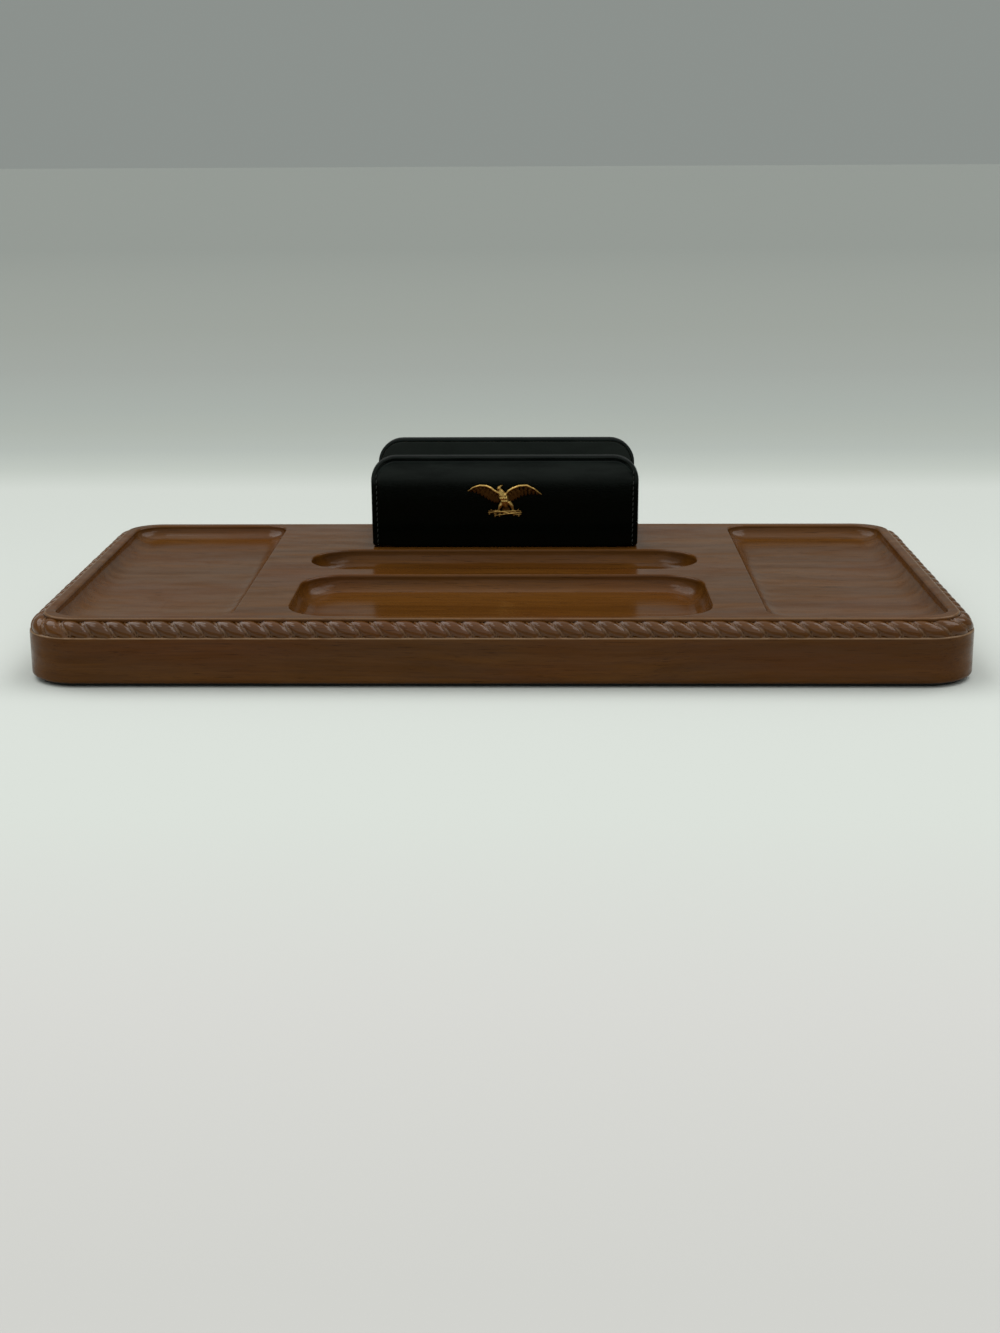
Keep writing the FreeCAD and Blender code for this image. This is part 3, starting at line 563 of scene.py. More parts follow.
def plain_finish(name, pattern_of, dark, light, rough, relief, metallic=0.0):
    """Finish that one pattern varies. pattern_of gives it in the material's graph, and rough is its
    range and the roughness at its two ends."""
    material, graph = new_material(name)
    pattern = pattern_of(graph, place_in_mm(graph))
    inputs = {
        "Base Color": graph.mix(pattern, dark, light),
        "Roughness": graph.between(pattern, *rough),
        "Metallic": metallic,
    }
    finish(graph, inputs, pattern, relief)
    return material


def waxed_thread():
    return plain_finish(
        "waxed_thread",
        lambda graph, place: graph.noise(place, (9.0, 9.0, 3.0), 1.0),
        (0.012, 0.015, 0.014),
        (0.040, 0.046, 0.043),
        (0.3, 0.7, 0.35, 0.5),
        0.04 * MM,
    )


def fibreboard():
    return plain_finish(
        "fibreboard",
        lambda graph, place: graph.noise(place, 1.6, 4.0, 0.7),
        (0.22, 0.15, 0.09),
        (0.40, 0.31, 0.21),
        (0.2, 0.8, 0.8, 0.95),
        0.08 * MM,
    )


def foam():
    def cells(graph, place):
        return graph.add("ShaderNodeTexVoronoi", {"Vector": place, "Scale": 2.4}).outputs["Distance"]

    return plain_finish(
        "foam",
        cells,
        (0.36, 0.35, 0.31),
        (0.56, 0.55, 0.51),
        (0.0, 0.7, 0.95, 0.85),
        0.1 * MM,
    )


def plated_steel():
    return plain_finish(
        "plated_steel",
        lambda graph, place: graph.noise(place, (1.0, 1.0, 8.0)),
        (0.42, 0.42, 0.41),
        (0.56, 0.55, 0.52),
        (0.2, 0.8, 0.28, 0.42),
        0.02 * MM,
        metallic=1.0,
    )


# Meshes


def add_object(name, data):
    made = bpy.data.objects.new(name, data)
    bpy.context.scene.collection.objects.link(made)
    return made


def settle(piece, replaced=()):
    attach(piece, BODY)
    if replaced:
        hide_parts(*replaced)


def face_outwards(bm, sharp_above):
    """Faces outwards, smooth but for the edges that turn by more than an angle in degrees."""
    bmesh.ops.recalc_face_normals(bm, faces=bm.faces)
    for face in bm.faces:
        face.smooth = True
    limit = math.radians(sharp_above)
    for edge in bm.edges:
        edge.smooth = len(edge.link_faces) < 2 or edge.calc_face_angle(0.0) < limit


def new_piece(name, bm, material, replaced, sharp_above=40.0, weighted=True):
    """Object from a bmesh, its doubles merged."""
    bmesh.ops.remove_doubles(bm, verts=bm.verts, dist=1e-7)
    face_outwards(bm, sharp_above)
    mesh = bpy.data.meshes.new(name)
    bm.to_mesh(mesh)
    bm.free()
    mesh.materials.append(material)
    piece = add_object(name, mesh)
    if weighted:
        normals = piece.modifiers.new("flat_faces_lead", "WEIGHTED_NORMAL")
        normals.keep_sharp = True
    settle(piece, [replaced])
    return piece


def made_plain(maker, name):
    """Plain mesh of an object with its modifiers applied. The object is removed."""
    depsgraph = bpy.context.evaluated_depsgraph_get()
    mesh = bpy.data.meshes.new_from_object(maker.evaluated_get(depsgraph), depsgraph=depsgraph)
    mesh.name = name
    bpy.data.objects.remove(maker)
    return mesh


def piece_from_nodes(name, source, tree, values, replaced=(), sharp_above=180.0):
    """Piece that a node tree makes of a source mesh. values sets the tree's named inputs."""
    maker = add_object(name + "_maker", source)
    modifier = maker.modifiers.new("nodes", "NODES")
    modifier.node_group = tree
    sockets = {item.name: item.identifier for item in tree.interface.items_tree if item.in_out == "INPUT"}
    for label, value in values.items():
        modifier[sockets[label]] = value
    mesh = made_plain(maker, name)
    bm = bmesh.new()
    bm.from_mesh(mesh)
    bmesh.ops.dissolve_degenerate(bm, edges=bm.edges, dist=1e-7)
    face_outwards(bm, sharp_above)
    bm.to_mesh(mesh)
    bm.free()
    settle(add_object(name, mesh), replaced)


def line_mesh(points, edges):
    mesh = bpy.data.meshes.new("line")
    mesh.from_pydata(points, edges, [])
    return mesh


def outline(width, depth, radii, inset=0.0, arc_steps=10, step=None, middle=(0.0, 0.0), closing=0.0):
    """Points round a rectangle with rounded corners, anticlockwise from its bottom left corner, drawn
    in by inset and then, as closing goes from 0 to 1, down to a line along its middle. Every inset and
    closing gives the same number of points."""
    signs = ((-1, -1), (1, -1), (1, 1), (-1, 1))
    further = closing * (min(width, depth) / 2 - inset)

    def on_arc(index, angle):
        reach = (radii[index] - inset) * (1 - closing)
        drawn_in = inset + further + reach
        x = signs[index][0] * (width / 2 - drawn_in)
        y = signs[index][1] * (depth / 2 - drawn_in)
        return x + reach * math.cos(angle), y + reach * math.sin(angle)

    points = []
    for index in range(4):
        start = math.pi + index * math.pi / 2
        end = start + math.pi / 2
        points += [on_arc(index, lerp(start, end, turn / arc_steps)) for turn in range(arc_steps + 1)]
        if step:
            following = (index + 1) % 4
            length = (width if index % 2 == 0 else depth) - radii[index] - radii[following]
            count = max(1, round(length / step))
            (x0, y0), (x1, y1) = on_arc(index, end), on_arc(following, end)
            points += [(lerp(x0, x1, i / count), lerp(y0, y1, i / count)) for i in range(1, count)]
    return [(x + middle[0], y + middle[1]) for x, y in points]


def ring_at(bm, points, level):
    return [bm.verts.new((x, y, level)) for x, y in points]


def join_rings(bm, rings):
    """Band of faces between each two rings that follow each other."""
    for first, second in zip(rings, rings[1:]):
        count = len(first)
        for i in range(count):
            j = (i + 1) % count
            corners = []
            for vert in (first[i], first[j], second[j], second[i]):
                if vert not in corners:
                    corners.append(vert)
            if len(corners) > 2:
                bm.faces.new(corners)


def quarter(steps):
    """Shares across and up along a quarter of a circle, from its side to its top."""
    turns = [math.pi / 2 * step / steps for step in range(steps + 1)]
    return [(1 - math.cos(turn), math.sin(turn)) for turn in turns]


# Board and felt


def hand_worked(x, y, amount):
    """Small unevenness that tools and sanding leave."""
    broad = noise.noise(Vector((x, y, 0.0)) * 90.0)
    return amount * (broad + 0.35 * noise.noise(Vector((x, y, 1.0)) * 260.0))


def recess(bm, width, depth, radii, sink, cove, dish, middle):
    """Carved recess: rounded rim, cove, and a floor that rises a little to its front and back. Gives its
    rim at the deck."""

    def ring(inset, level, share=0.0, closing=0.0):
        """share is how far the ring has come from the wall to the floor."""
        verts = ring_at(bm, outline(width, depth, radii, inset, 12, 2.0 * MM, middle, closing), level)
        uneven = lerp(COVE_UNEVEN * math.sin(math.pi * share), FLOOR_UNEVEN, share)
        for vert in verts:
            from_wall = depth / 2 - abs(vert.co.y - middle[1])
            rise = dish * max(0.0, 1 - from_wall / DISH_REACH) ** 2
            vert.co.z += rise * share + hand_worked(vert.co.x, vert.co.y, uneven)
        return verts

    cove_reach, cove_height = cove
    floor = DECK - sink
    rings = [ring(-RIM_ROUND * (1 - up), DECK - RIM_ROUND * across) for across, up in quarter(5)]
    rings += [ring(cove_reach * across, floor + cove_height * (1 - up), up) for across, up in quarter(14)]
    rings += [ring(cove_reach, floor, 1.0, closing) for closing in FLOOR_CLOSINGS]
    join_rings(bm, rings)
    bm.faces.new(rings[-1])
    return rings[0]


def screw_hole(bm, x, y):
    """Counterbored hole from the underside to the deck. Gives its rims below and at the deck."""
    sides = 24
    turns = [2 * math.pi * i / sides for i in range(sides)]
    rings = [
        ring_at(bm, [(x + radius * math.cos(t), y + radius * math.sin(t)) for t in turns], level)
        for radius, level in (
            (COUNTERBORE_RADIUS, UNDERSIDE),
            (COUNTERBORE_RADIUS, COUNTERBORE_TOP),
            (SCREW_HOLE_RADIUS, COUNTERBORE_TOP),
            (SCREW_HOLE_RADIUS, DECK),
        )
    ]
    join_rings(bm, rings)
    return rings[0], rings[-1]


def face_with_holes(bm, rim, holes):
    """Flat face inside a rim, less its holes, as triangles between their own corners."""
    loops = [rim] + holes
    verts = [vert for loop in loops for vert in loop]
    for corners in tessellate_polygon([[vert.co for vert in loop] for loop in loops]):
        chosen = [verts[i] for i in corners]
        if len(set(chosen)) == 3:
            bm.faces.new(chosen)


def tray_board(material):
    bm = bmesh.new()

    def ring(inset, level):
        return ring_at(bm, outline(TRAY_WIDTH, TRAY_DEPTH, [TRAY_CORNER] * 4, inset, 18), level)

    rings = [ring(FOOT_ROUND * (1 - up), UNDERSIDE + FOOT_ROUND * across) for across, up in quarter(6)]
    rings += [ring(LEDGE_ROUND * across, LEDGE - LEDGE_ROUND * (1 - up)) for across, up in quarter(3)]
    rings.append(ring(REBATE_WIDTH, LEDGE))
    rings += [
        ring(REBATE_WIDTH + DECK_ROUND * across, DECK - DECK_ROUND * (1 - up)) for across, up in quarter(5)
    ]
    join_rings(bm, rings)

    inner, outer = SIDE_WELL_CORNERS
    side = (SIDE_WELL_SINK, SIDE_WELL_COVE, SIDE_WELL_DISH)
    front = (FRONT_WELL_SINK, FRONT_WELL_COVE, FRONT_WELL_DISH)
    behind = (TROUGH_SINK, TROUGH_COVE, TROUGH_DISH)
    rims = [
        recess(bm, *SIDE_WELL_SIZE, [outer, inner, inner, outer], *side, (-SIDE_WELL_MIDDLE, 0.0)),
        recess(bm, *SIDE_WELL_SIZE, [inner, outer, outer, inner], *side, (SIDE_WELL_MIDDLE, 0.0)),
        recess(bm, *FRONT_WELL_SIZE, [FRONT_WELL_CORNER] * 4, *front, (0.0, FRONT_WELL_MIDDLE)),
        recess(bm, *TROUGH_SIZE, [TROUGH_SIZE[1] / 2] * 4, *behind, (0.0, TROUGH_MIDDLE)),
    ]
    screw_y = (screw_low.y + screw_high.y) / 2
    screw_ends = (screw_low.x + SCREW_HEAD_RADIUS, screw_high.x - SCREW_HEAD_RADIUS)
    holes = [screw_hole(bm, x, screw_y) for x in screw_ends]
    face_with_holes(bm, rings[0], [below for below, above in holes])
    face_with_holes(bm, rings[-1], rims + [above for below, above in holes])
    new_piece("walnut_board", bm, material, "tray_board")


def felt_base(material):
    bm = bmesh.new()
    width = felt_high.x - felt_low.x
    depth = felt_high.y - felt_low.y
    corner = [TRAY_CORNER - FELT_INSET] * 4
    levels = [(FELT_EDGE * (1 - up), felt_low.z + FELT_EDGE * across) for across, up in quarter(3)]
    levels += [(FELT_EDGE * across, felt_high.z - FELT_EDGE * (1 - up)) for across, up in quarter(3)]
    rings = []
    for inset, level in levels:
        verts = ring_at(bm, outline(width, depth, corner, inset, 12, 2.5 * MM), level)
        for vert in verts:
            trim = noise.noise(Vector((vert.co.x, vert.co.y, 0.0)) * 120.0) * 0.12 * MM
            vert.co.x -= math.copysign(abs(trim), vert.co.x)
        rings.append(verts)
    join_rings(bm, rings)
    bm.faces.new(rings[0])
    bm.faces.new(rings[-1])
    new_piece("felt_sheet", bm, material, "felt_base")


# Rope moulding


def geometry_tree(name, inputs):
    """Node tree of a modifier, with its own graph and two ends."""
    tree = bpy.data.node_groups.new(name, "GeometryNodeTree")
    for label, kind in [("Geometry", "Geometry"), *inputs]:
        tree.interface.new_socket(label, in_out="INPUT", socket_type="NodeSocket" + kind)
    tree.interface.new_socket("Geometry", in_out="OUTPUT", socket_type="NodeSocketGeometry")
    graph = Graph(tree)
    return graph, graph.add("NodeGroupInput").outputs, graph.add("NodeGroupOutput").inputs


def capture(graph, geometry, fields):
    """Keep fields on a geometry's points. fields gives (name, kind, socket)."""
    node = graph.add("GeometryNodeCaptureAttribute", {"Geometry": geometry}, domain="POINT")
    for label, kind, _ in fields:
        node.capture_items.new(kind, label)
    for label, _, socket in fields:
        graph.feed(node.inputs[label], socket)
    return [node.outputs["Geometry"]] + [node.outputs[label] for label, _, _ in fields]


def store(graph, geometry, name, kind, value):
    inputs = {"Geometry": geometry, "Name": name, "Value": value}
    node = graph.add("GeometryNodeStoreNamedAttribute", inputs, data_type=kind, domain="POINT")
    return node.outputs["Geometry"]


def end_tree(graph, geometry, material, out):
    real = graph.add("GeometryNodeRealizeInstances", {"Geometry": geometry}).outputs["Geometry"]
    dressed = graph.add("GeometryNodeSetMaterial", {"Geometry": real, "Material": material})
    graph.feed(out["Geometry"], dressed.outputs["Geometry"])


def rope_tree():
    """A quarter round carried along a closed line, with strands that wind over it: each strand swells
    between two grooves, and its flats lie on the rebate's ledge and wall."""
    graph, given, out = geometry_tree(
        "rope_moulding",
        [
            ("Radius", "Float"),
            ("Strands", "Int"),
            ("Lead", "Float"),
            ("Groove Depth", "Float"),
            ("Bead Height", "Float"),
            ("Wall", "Float"),
            ("Seat", "Float"),
            ("Half Width", "Float"),
            ("Half Depth", "Float"),
            ("Corner", "Float"),
            ("Steps per Strand", "Int"),
            ("Steps Round", "Int"),
            ("Material", "Material"),
        ],
    )
    line = graph.add("GeometryNodeMeshToCurve", {"Mesh": given["Geometry"]}).outputs["Curve"]
    total = graph.add("GeometryNodeCurveLength", {"Curve": line}).outputs["Length"]
    count = graph.times(given["Strands"], given["Steps per Strand"])
    spaced = graph.add("GeometryNodeResampleCurve", {"Curve": line, "Count": count}).outputs["Curve"]
    kept, centre, heading, run = capture(
        graph,
        spaced,
        [
            ("centre", "VECTOR", graph.add("GeometryNodeInputPosition").outputs[0]),
            ("heading", "VECTOR", graph.add("GeometryNodeInputTangent").outputs[0]),
            ("run", "FLOAT", graph.add("GeometryNodeSplineParameter").outputs["Length"]),
        ],
    )
    full_turn = 2 * math.pi
    arc = {"Resolution": given["Steps Round"], "Radius": given["Radius"], "Sweep Angle": full_turn}
    section = graph.add("GeometryNodeCurveArc", {"Start Angle": 0.0, **arc}).outputs["Curve"]
    # Most of the section's points go to the side that shows; it starts in the hidden corner
    turned = graph.times(graph.add("GeometryNodeSplineParameter").outputs["Factor"], full_turn)
    crowding = 0.6
    crowded = graph.math("MULTIPLY_ADD", graph.math("SINE", turned), crowding, turned)
    started = graph.plus(crowded, math.radians(-135))
    profile, angle = capture(graph, section, [("angle", "FLOAT", started)])
    tube = graph.add("GeometryNodeCurveToMesh", {"Curve": kept, "Profile Curve": profile}).outputs["Mesh"]

    # Which strand a point is on, and its share of the way across it; whole_turns keeps both above zero
    whole_turns = 1000.0
    pitch = graph.math("DIVIDE", total, given["Strands"])
    slip = graph.times(graph.math("DIVIDE", angle, full_turn), given["Lead"])
    phase = graph.math("DIVIDE", graph.plus(run, slip), pitch)
    number = graph.math("MODULO", graph.plus(graph.math("FLOOR", phase), whole_turns), given["Strands"])
    across = graph.math("FRACT", graph.plus(phase, whole_turns))
    chance, other_chance = (
        graph.add("FunctionNodeRandomValue", {"ID": number, "Seed": seed}, data_type="FLOAT").outputs[1]
        for seed in (4, 9)
    )
    # The strands are shallower where the moulding turns a corner, and differ a little from each other
    corner_loss = 0.15
    ease = graph.times(given["Corner"], 0.35)
    turning = []
    for value, half in zip(graph.separate(centre), ("Half Width", "Half Depth")):
        past = graph.minus(graph.math("ABSOLUTE", value), graph.minus(given[half], given["Corner"]))
        turning.append(graph.between(past, 0.0, ease))
    shallower = graph.math("MULTIPLY_ADD", graph.times(*turning), -corner_loss, 1.0)
    carved = graph.times(graph.math("MULTIPLY_ADD", chance, 0.30, 0.80), shallower)
    depth = graph.times(given["Groove Depth"], carved)
    # A strand is a flattened lobe over most of its pitch, worn down a little
    lobe_end, flatness, wear = 0.86, 2.3, 0.15 * MM
    side = graph.math("ABSOLUTE", graph.math("MULTIPLY_ADD", across, 2.0 / lobe_end, -1.0))
    swell = graph.math("MAXIMUM", graph.minus(1.0, graph.math("POWER", side, flatness)), 0.0)
    worn = graph.times(other_chance, wear)
    strand = graph.minus(graph.times(graph.math("SQRT", swell), depth), graph.plus(depth, worn))
    # A thin bead is left standing in each groove
    from_groove = graph.minus(across, (1 + lobe_end) / 2)
    off_bead = graph.math("DIVIDE", from_groove, (1 - lobe_end) / 2)
    bead = graph.minus(1.0, graph.times(off_bead, off_bead))
    ridge = graph.minus(graph.times(graph.math("MAXIMUM", bead, 0.0), given["Bead Height"]), depth)
    reach = graph.plus(graph.math("MAXIMUM", strand, ridge), given["Radius"])
    # Below its widest place the moulding goes down nearly straight, and its back lies on the wall
    steeper = -0.42
    straightened = graph.math("MULTIPLY_ADD", graph.math("MINIMUM", angle, 0.0), steeper, angle)
    shown = graph.math("MAXIMUM", graph.times(reach, graph.math("COSINE", straightened)), given["Wall"])
    behind = graph.math("LESS_THAN", graph.math("COSINE", angle), 0.0)
    choice = {"Switch": behind, "False": shown, "True": given["Wall"]}
    outward = graph.add("GeometryNodeSwitch", choice, input_type="FLOAT").outputs["Output"]
    upward = graph.math("MAXIMUM", graph.times(reach, graph.math("SINE", angle)), given["Seat"])

    sideways = graph.vector("NORMALIZE", graph.vector("CROSS_PRODUCT", heading, (0.0, 0.0, 1.0)))
    place = graph.vector("ADD", centre, graph.vector("SCALE", sideways, outward))
    place = graph.vector("ADD", place, graph.combine(0.0, 0.0, upward))
    moved = graph.add("GeometryNodeSetPosition", {"Geometry": tube, "Position": place}).outputs["Geometry"]
    placed = store(graph, moved, "grain_place", "FLOAT_VECTOR", graph.combine(run, outward, upward))
    beaded = store(graph, placed, "bead", "FLOAT", graph.between(bead, 0.0, 0.7))
    merged = graph.add("GeometryNodeMergeByDistance", {"Geometry": beaded, "Distance": 0.001 * MM})
    end_tree(graph, merged.outputs["Geometry"], given["Material"], out)
    return graph.tree


def rope_moulding(material):
    bend = TRAY_CORNER - ROPE_INSET
    width = TRAY_WIDTH - 2 * ROPE_INSET
    depth = TRAY_DEPTH - 2 * ROPE_INSET
    ring = outline(width, depth, [bend] * 4, 0.0, ROPE_BEND_STEPS)
    # The line starts where the straight run along the front starts
    ring = ring[ROPE_BEND_STEPS:] + ring[:ROPE_BEND_STEPS]
    points = [(x, y, LEDGE + ROPE_SEAT) for x, y in ring]
    length = 2 * (width + depth - 4 * bend) + 2 * math.pi * bend
    piece_from_nodes(
        "rope_strands",
        line_mesh(points, [(i, (i + 1) % len(points)) for i in range(len(points))]),
        rope_tree(),
        {
            "Radius": ROPE_RADIUS,
            "Strands": round(length / ROPE_PITCH),
            "Lead": ROPE_LEAD,
            "Groove Depth": ROPE_GROOVE,
            "Bead Height": ROPE_BEAD,
            "Wall": ROPE_GLUE_LINE - (REBATE_WIDTH - ROPE_INSET),
            "Seat": -ROPE_SEAT,
            "Half Width": TRAY_WIDTH / 2,
            "Half Depth": TRAY_DEPTH / 2,
            "Corner": TRAY_CORNER,
            "Steps per Strand": 24,
            "Steps Round": 30,
            "Material": material,
        },
        ["rope_moulding"],
        75.0,
    )


# Holder. Its sheets are laid out flat as a rectangle with rounded corners, then folded into a U.

# A station of the U: its (y, z) points on the outside and on the inside, and the way from the outside in
Station = namedtuple("Station", "outside inside way")

# A spot of a sheet's flat pattern: its x, its station, how far it lies on a top edge and not a side, and
# how far in from the sheet's edge
Spot = namedtuple("Spot", "x station top inset")


class Fold:
    """The U that the holder's sheets follow, as stations from the front's top to the back's."""

    def __init__(self):
        self.front, self.back, self.deck = cover_low.y, cover_high.y, cover_low.z
        self.half = (cover_high.x - cover_low.x) / 2
        low = self.front + PANEL + FOLD_INSIDE
        high = self.back - PANEL - FOLD_INSIDE
        floor = [
            Station(
                (lerp(self.front + FOLD_OUTSIDE, self.back - FOLD_OUTSIDE, share), self.deck),
                (lerp(low, high, share), self.deck + BASE),
                (0.0, 1.0),
            )
            for share in FLOOR_SHARES
        ]
        front = self.upright(self.front, 1, "holder_front_board") + self.corner(self.front, 1)
        back = self.upright(self.back, -1, "holder_back_board") + self.corner(self.back, -1)
        self.stations = front + floor + back[::-1]

    def upright(self, face, sign, board):
        """Stations down a panel, from the end of its round corner to its fold."""
        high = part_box(board)[1].z + COVER - PANEL_CORNER
        return [
            Station(
                (face, lerp(high, self.deck + FOLD_OUTSIDE, share)),
                (face + sign * PANEL, lerp(high, self.deck + BASE + FOLD_INSIDE, share)),
                (sign, 0.0),
            )
            for share in UPRIGHT_SHARES
        ]

    def corner(self, face, sign):
        """Stations round a fold, from its panel to the floor."""
        stations = []
        for step in range(1, FOLD_STEPS):
            across = math.cos(math.pi / 2 * step / FOLD_STEPS)
            down = math.sin(math.pi / 2 * step / FOLD_STEPS)
            outside = (face + sign * FOLD_OUTSIDE * (1 - across), self.deck + FOLD_OUTSIDE * (1 - down))
            inside = (
                face + sign * (PANEL + FOLD_INSIDE * (1 - across)),
                self.deck + BASE + FOLD_INSIDE * (1 - down),
            )
            stations.append(Station(outside, inside, (sign * across, down)))
        return stations

    def end(self, at_front, beyond):
        """Station past the first or the last one, on an upright: beyond is the way up from it."""
        outside, inside, way = self.stations[0 if at_front else -1]
        return Station((outside[0], outside[1] + beyond), (inside[0], inside[1] + beyond), way)


def from_outside(spot, depth):
    (y, z), way = spot.station.outside, spot.station.way
    return Vector((spot.x, y + way[0] * depth, z + way[1] * depth))


def from_inside(spot, depth):
    (y, z), way = spot.station.inside, spot.station.way
    return Vector((spot.x, y - way[0] * depth, z - way[1] * depth))


def folded_sheet(fold, layers, edge_inset):
    """Closed sheet folded along the U. layers lists its rings from the middle of its first face, over
    its edge, to the middle of its second: the inset from its edge, and the function that places a spot.
    edge_inset is the inset of its edge from the cover's."""
    bm = bmesh.new()
    inner_half = fold.half - PANEL_CORNER
    columns = [lerp(-inner_half, inner_half, i / ACROSS_STEPS) for i in range(ACROSS_STEPS + 1)]
    stations = fold.stations

    def corner_spots(side, at_front, start, inset, reach):
        """Round corner of the flat pattern: angle 0 points along X, a right angle towards the end."""
        for step in range(CORNER_STEPS + 1):
            angle = start + math.pi / 2 * step / CORNER_STEPS
            top = abs(math.sin(angle))
            x = side * inner_half + reach * math.cos(angle)
            yield Spot(x, fold.end(at_front, reach * top), top, inset)

    def ring(inset):
        """Spots round the pattern, anticlockwise from the front right corner seen from outside."""
        reach = PANEL_CORNER - min(inset + edge_inset, PANEL_CORNER)
        front_end, back_end = fold.end(True, reach), fold.end(False, reach)
        side = inner_half + reach
        return [
            *corner_spots(1, True, 0.0, inset, reach),
            *[Spot(x, front_end, 1.0, inset) for x in columns[-2:0:-1]],
            *corner_spots(-1, True, math.pi / 2, inset, reach),
            *[Spot(-side, station, 0.0, inset) for station in stations[1:-1]],
            *corner_spots(-1, False, math.pi, inset, reach),
            *[Spot(x, back_end, 1.0, inset) for x in columns[1:-1]],
            *corner_spots(1, False, 3 * math.pi / 2, inset, reach),
            *[Spot(side, station, 0.0, inset) for station in stations[-2:0:-1]],
        ]

    def middle(place):
        """Face inside the innermost ring."""
        rows = [
            [bm.verts.new(place(Spot(x, station, 0.0, PANEL_CORNER))) for x in columns]
            for station in stations
        ]
        for first, second in zip(rows, rows[1:]):
            for i in range(ACROSS_STEPS):
                bm.faces.new((first[i], first[i + 1], second[i + 1], second[i]))

    middle(layers[0][1])
    join_rings(bm, [[bm.verts.new(place(spot)) for spot in ring(inset)] for inset, place in layers])
    middle(layers[-1][1])
    return bm


def setback(top, inset):
    """How far the padded face lies back from its crown near the panel's edges."""
    flat = min(1.0, inset / lerp(*CROWN_WIDTH, top))
    round_share, soft_share = 0.6, 0.4
    rounded = round_share * math.sqrt(1 - (1 - flat) ** 2)
    return lerp(*CROWN_SETBACK, top) * (1 - rounded - soft_share * smooth(0.0, 1.0, flat))


def crease(top, inset):
    """Groove of the seam along the edge."""
    away = (inset - lerp(*SEAM_INSET, top)) / SEAM_HALF_WIDTH
    return lerp(*SEAM_DEPTH, top) * math.exp(-away * away)


def settled_on_deck(fold, point, lean_share=1.0):
    """The bottom corners of the front and back turn up a little from the deck, the faces lean in
    towards their feet, and the sides draw in there."""
    near_end = smooth(fold.half - FOOT_LIFT_REACH, fold.half, abs(point.x))
    near_fold = 1 - smooth(0.0, FOLD_REACH, min(point.y - fold.front, fold.back - point.y))
    low = 1 - smooth(fold.deck, fold.deck + FOOT_LIFT_HEIGHT, point.z)
    point.z += FOOT_LIFT * near_end * near_fold * low
    foot = max(0.0, 1 - (point.z - fold.deck) / LEAN_HEIGHT)
    point.x *= NARROWED - FOOT_NARROWED * foot
    lean = FOOT_LEAN * foot * near_fold * lean_share
    point.y += math.copysign(lean, (fold.front + fold.back) / 2 - point.y)
    return point


def padded_back(spot, inset):
    """Setback of the padded face at a spot. The floor of the U has none."""
    return setback(spot.top, inset) * abs(spot.station.way[0])


def outer_face(fold):
    def place(spot):
        back = padded_back(spot, spot.inset) + crease(spot.top, spot.inset)
        return settled_on_deck(fold, from_outside(spot, back))

    return place


def outer_edge(fold, depth):
    def place(spot):
        return settled_on_deck(fold, from_outside(spot, padded_back(spot, COVER_EDGE) + depth))

    return place


def under_outer_face(fold):
    def place(spot):
        depth = COVER + padded_back(spot, spot.inset)
        return settled_on_deck(fold, from_outside(spot, depth), INSIDE_LEAN)

    return place


def inner_face(depth):
    return lambda spot: from_inside(spot, depth)


def holder_cover(fold, material):
    """Outer leather: padded face, seam crease, edge, and the hem turned in round the lining."""
    face_insets = (11.0, 9.5, 8.0, 6.6, 5.4, 4.4, 3.6, 3.0, 2.5, 2.2, 1.95, 1.75, 1.6, 1.45, 1.3, 1.15, 1.0)
    layers = [(inset * MM, outer_face(fold)) for inset in face_insets]
    layers += [(COVER_EDGE * (1 - up), outer_edge(fold, COVER_EDGE * across)) for across, up in quarter(5)]
    layers += [(COVER_EDGE * across, inner_face(COVER_EDGE * (1 - up))) for across, up in quarter(5)]
    layers += [
        (HEM - 0.35 * MM, inner_face(0.0)),
        (HEM - 0.1 * MM, inner_face(0.08 * MM)),
        (HEM, inner_face(0.3 * MM)),
        (HEM, inner_face(LINING)),
        (COVER, inner_face(LINING)),
    ]
    layers += [(inset * MM, under_outer_face(fold)) for inset in (1.1, 2.0, 3.0, 4.5, 6.5, 9.0, 11.0)]
    bm = folded_sheet(fold, layers, 0.0)
    new_piece("leather_cover", bm, material, "holder_cover", 60.0)


def holder_lining(fold, material):
    """Inner leather, set inside the hem."""
    edge_inset = HEM + LINING_GAP
    middle = PANEL_CORNER - HEM - LINING_GAP
    under = inner_face(LINING - 0.03 * MM)
    face_insets = (middle, 6.0 * MM, 3.5 * MM, 2.0 * MM, 1.0 * MM, 0.55 * MM)
    layers = [(inset, inner_face(0.0)) for inset in face_insets]
    layers += [(LINING_EDGE * across, inner_face(LINING_EDGE * (1 - up))) for across, up in quarter(4)[::-1]]
    layers += [(inset, under) for inset in (0.0, 2.0 * MM, middle)]
    bm = folded_sheet(fold, layers, edge_inset)
    new_piece("leather_lining", bm, material, "holder_lining", 60.0)


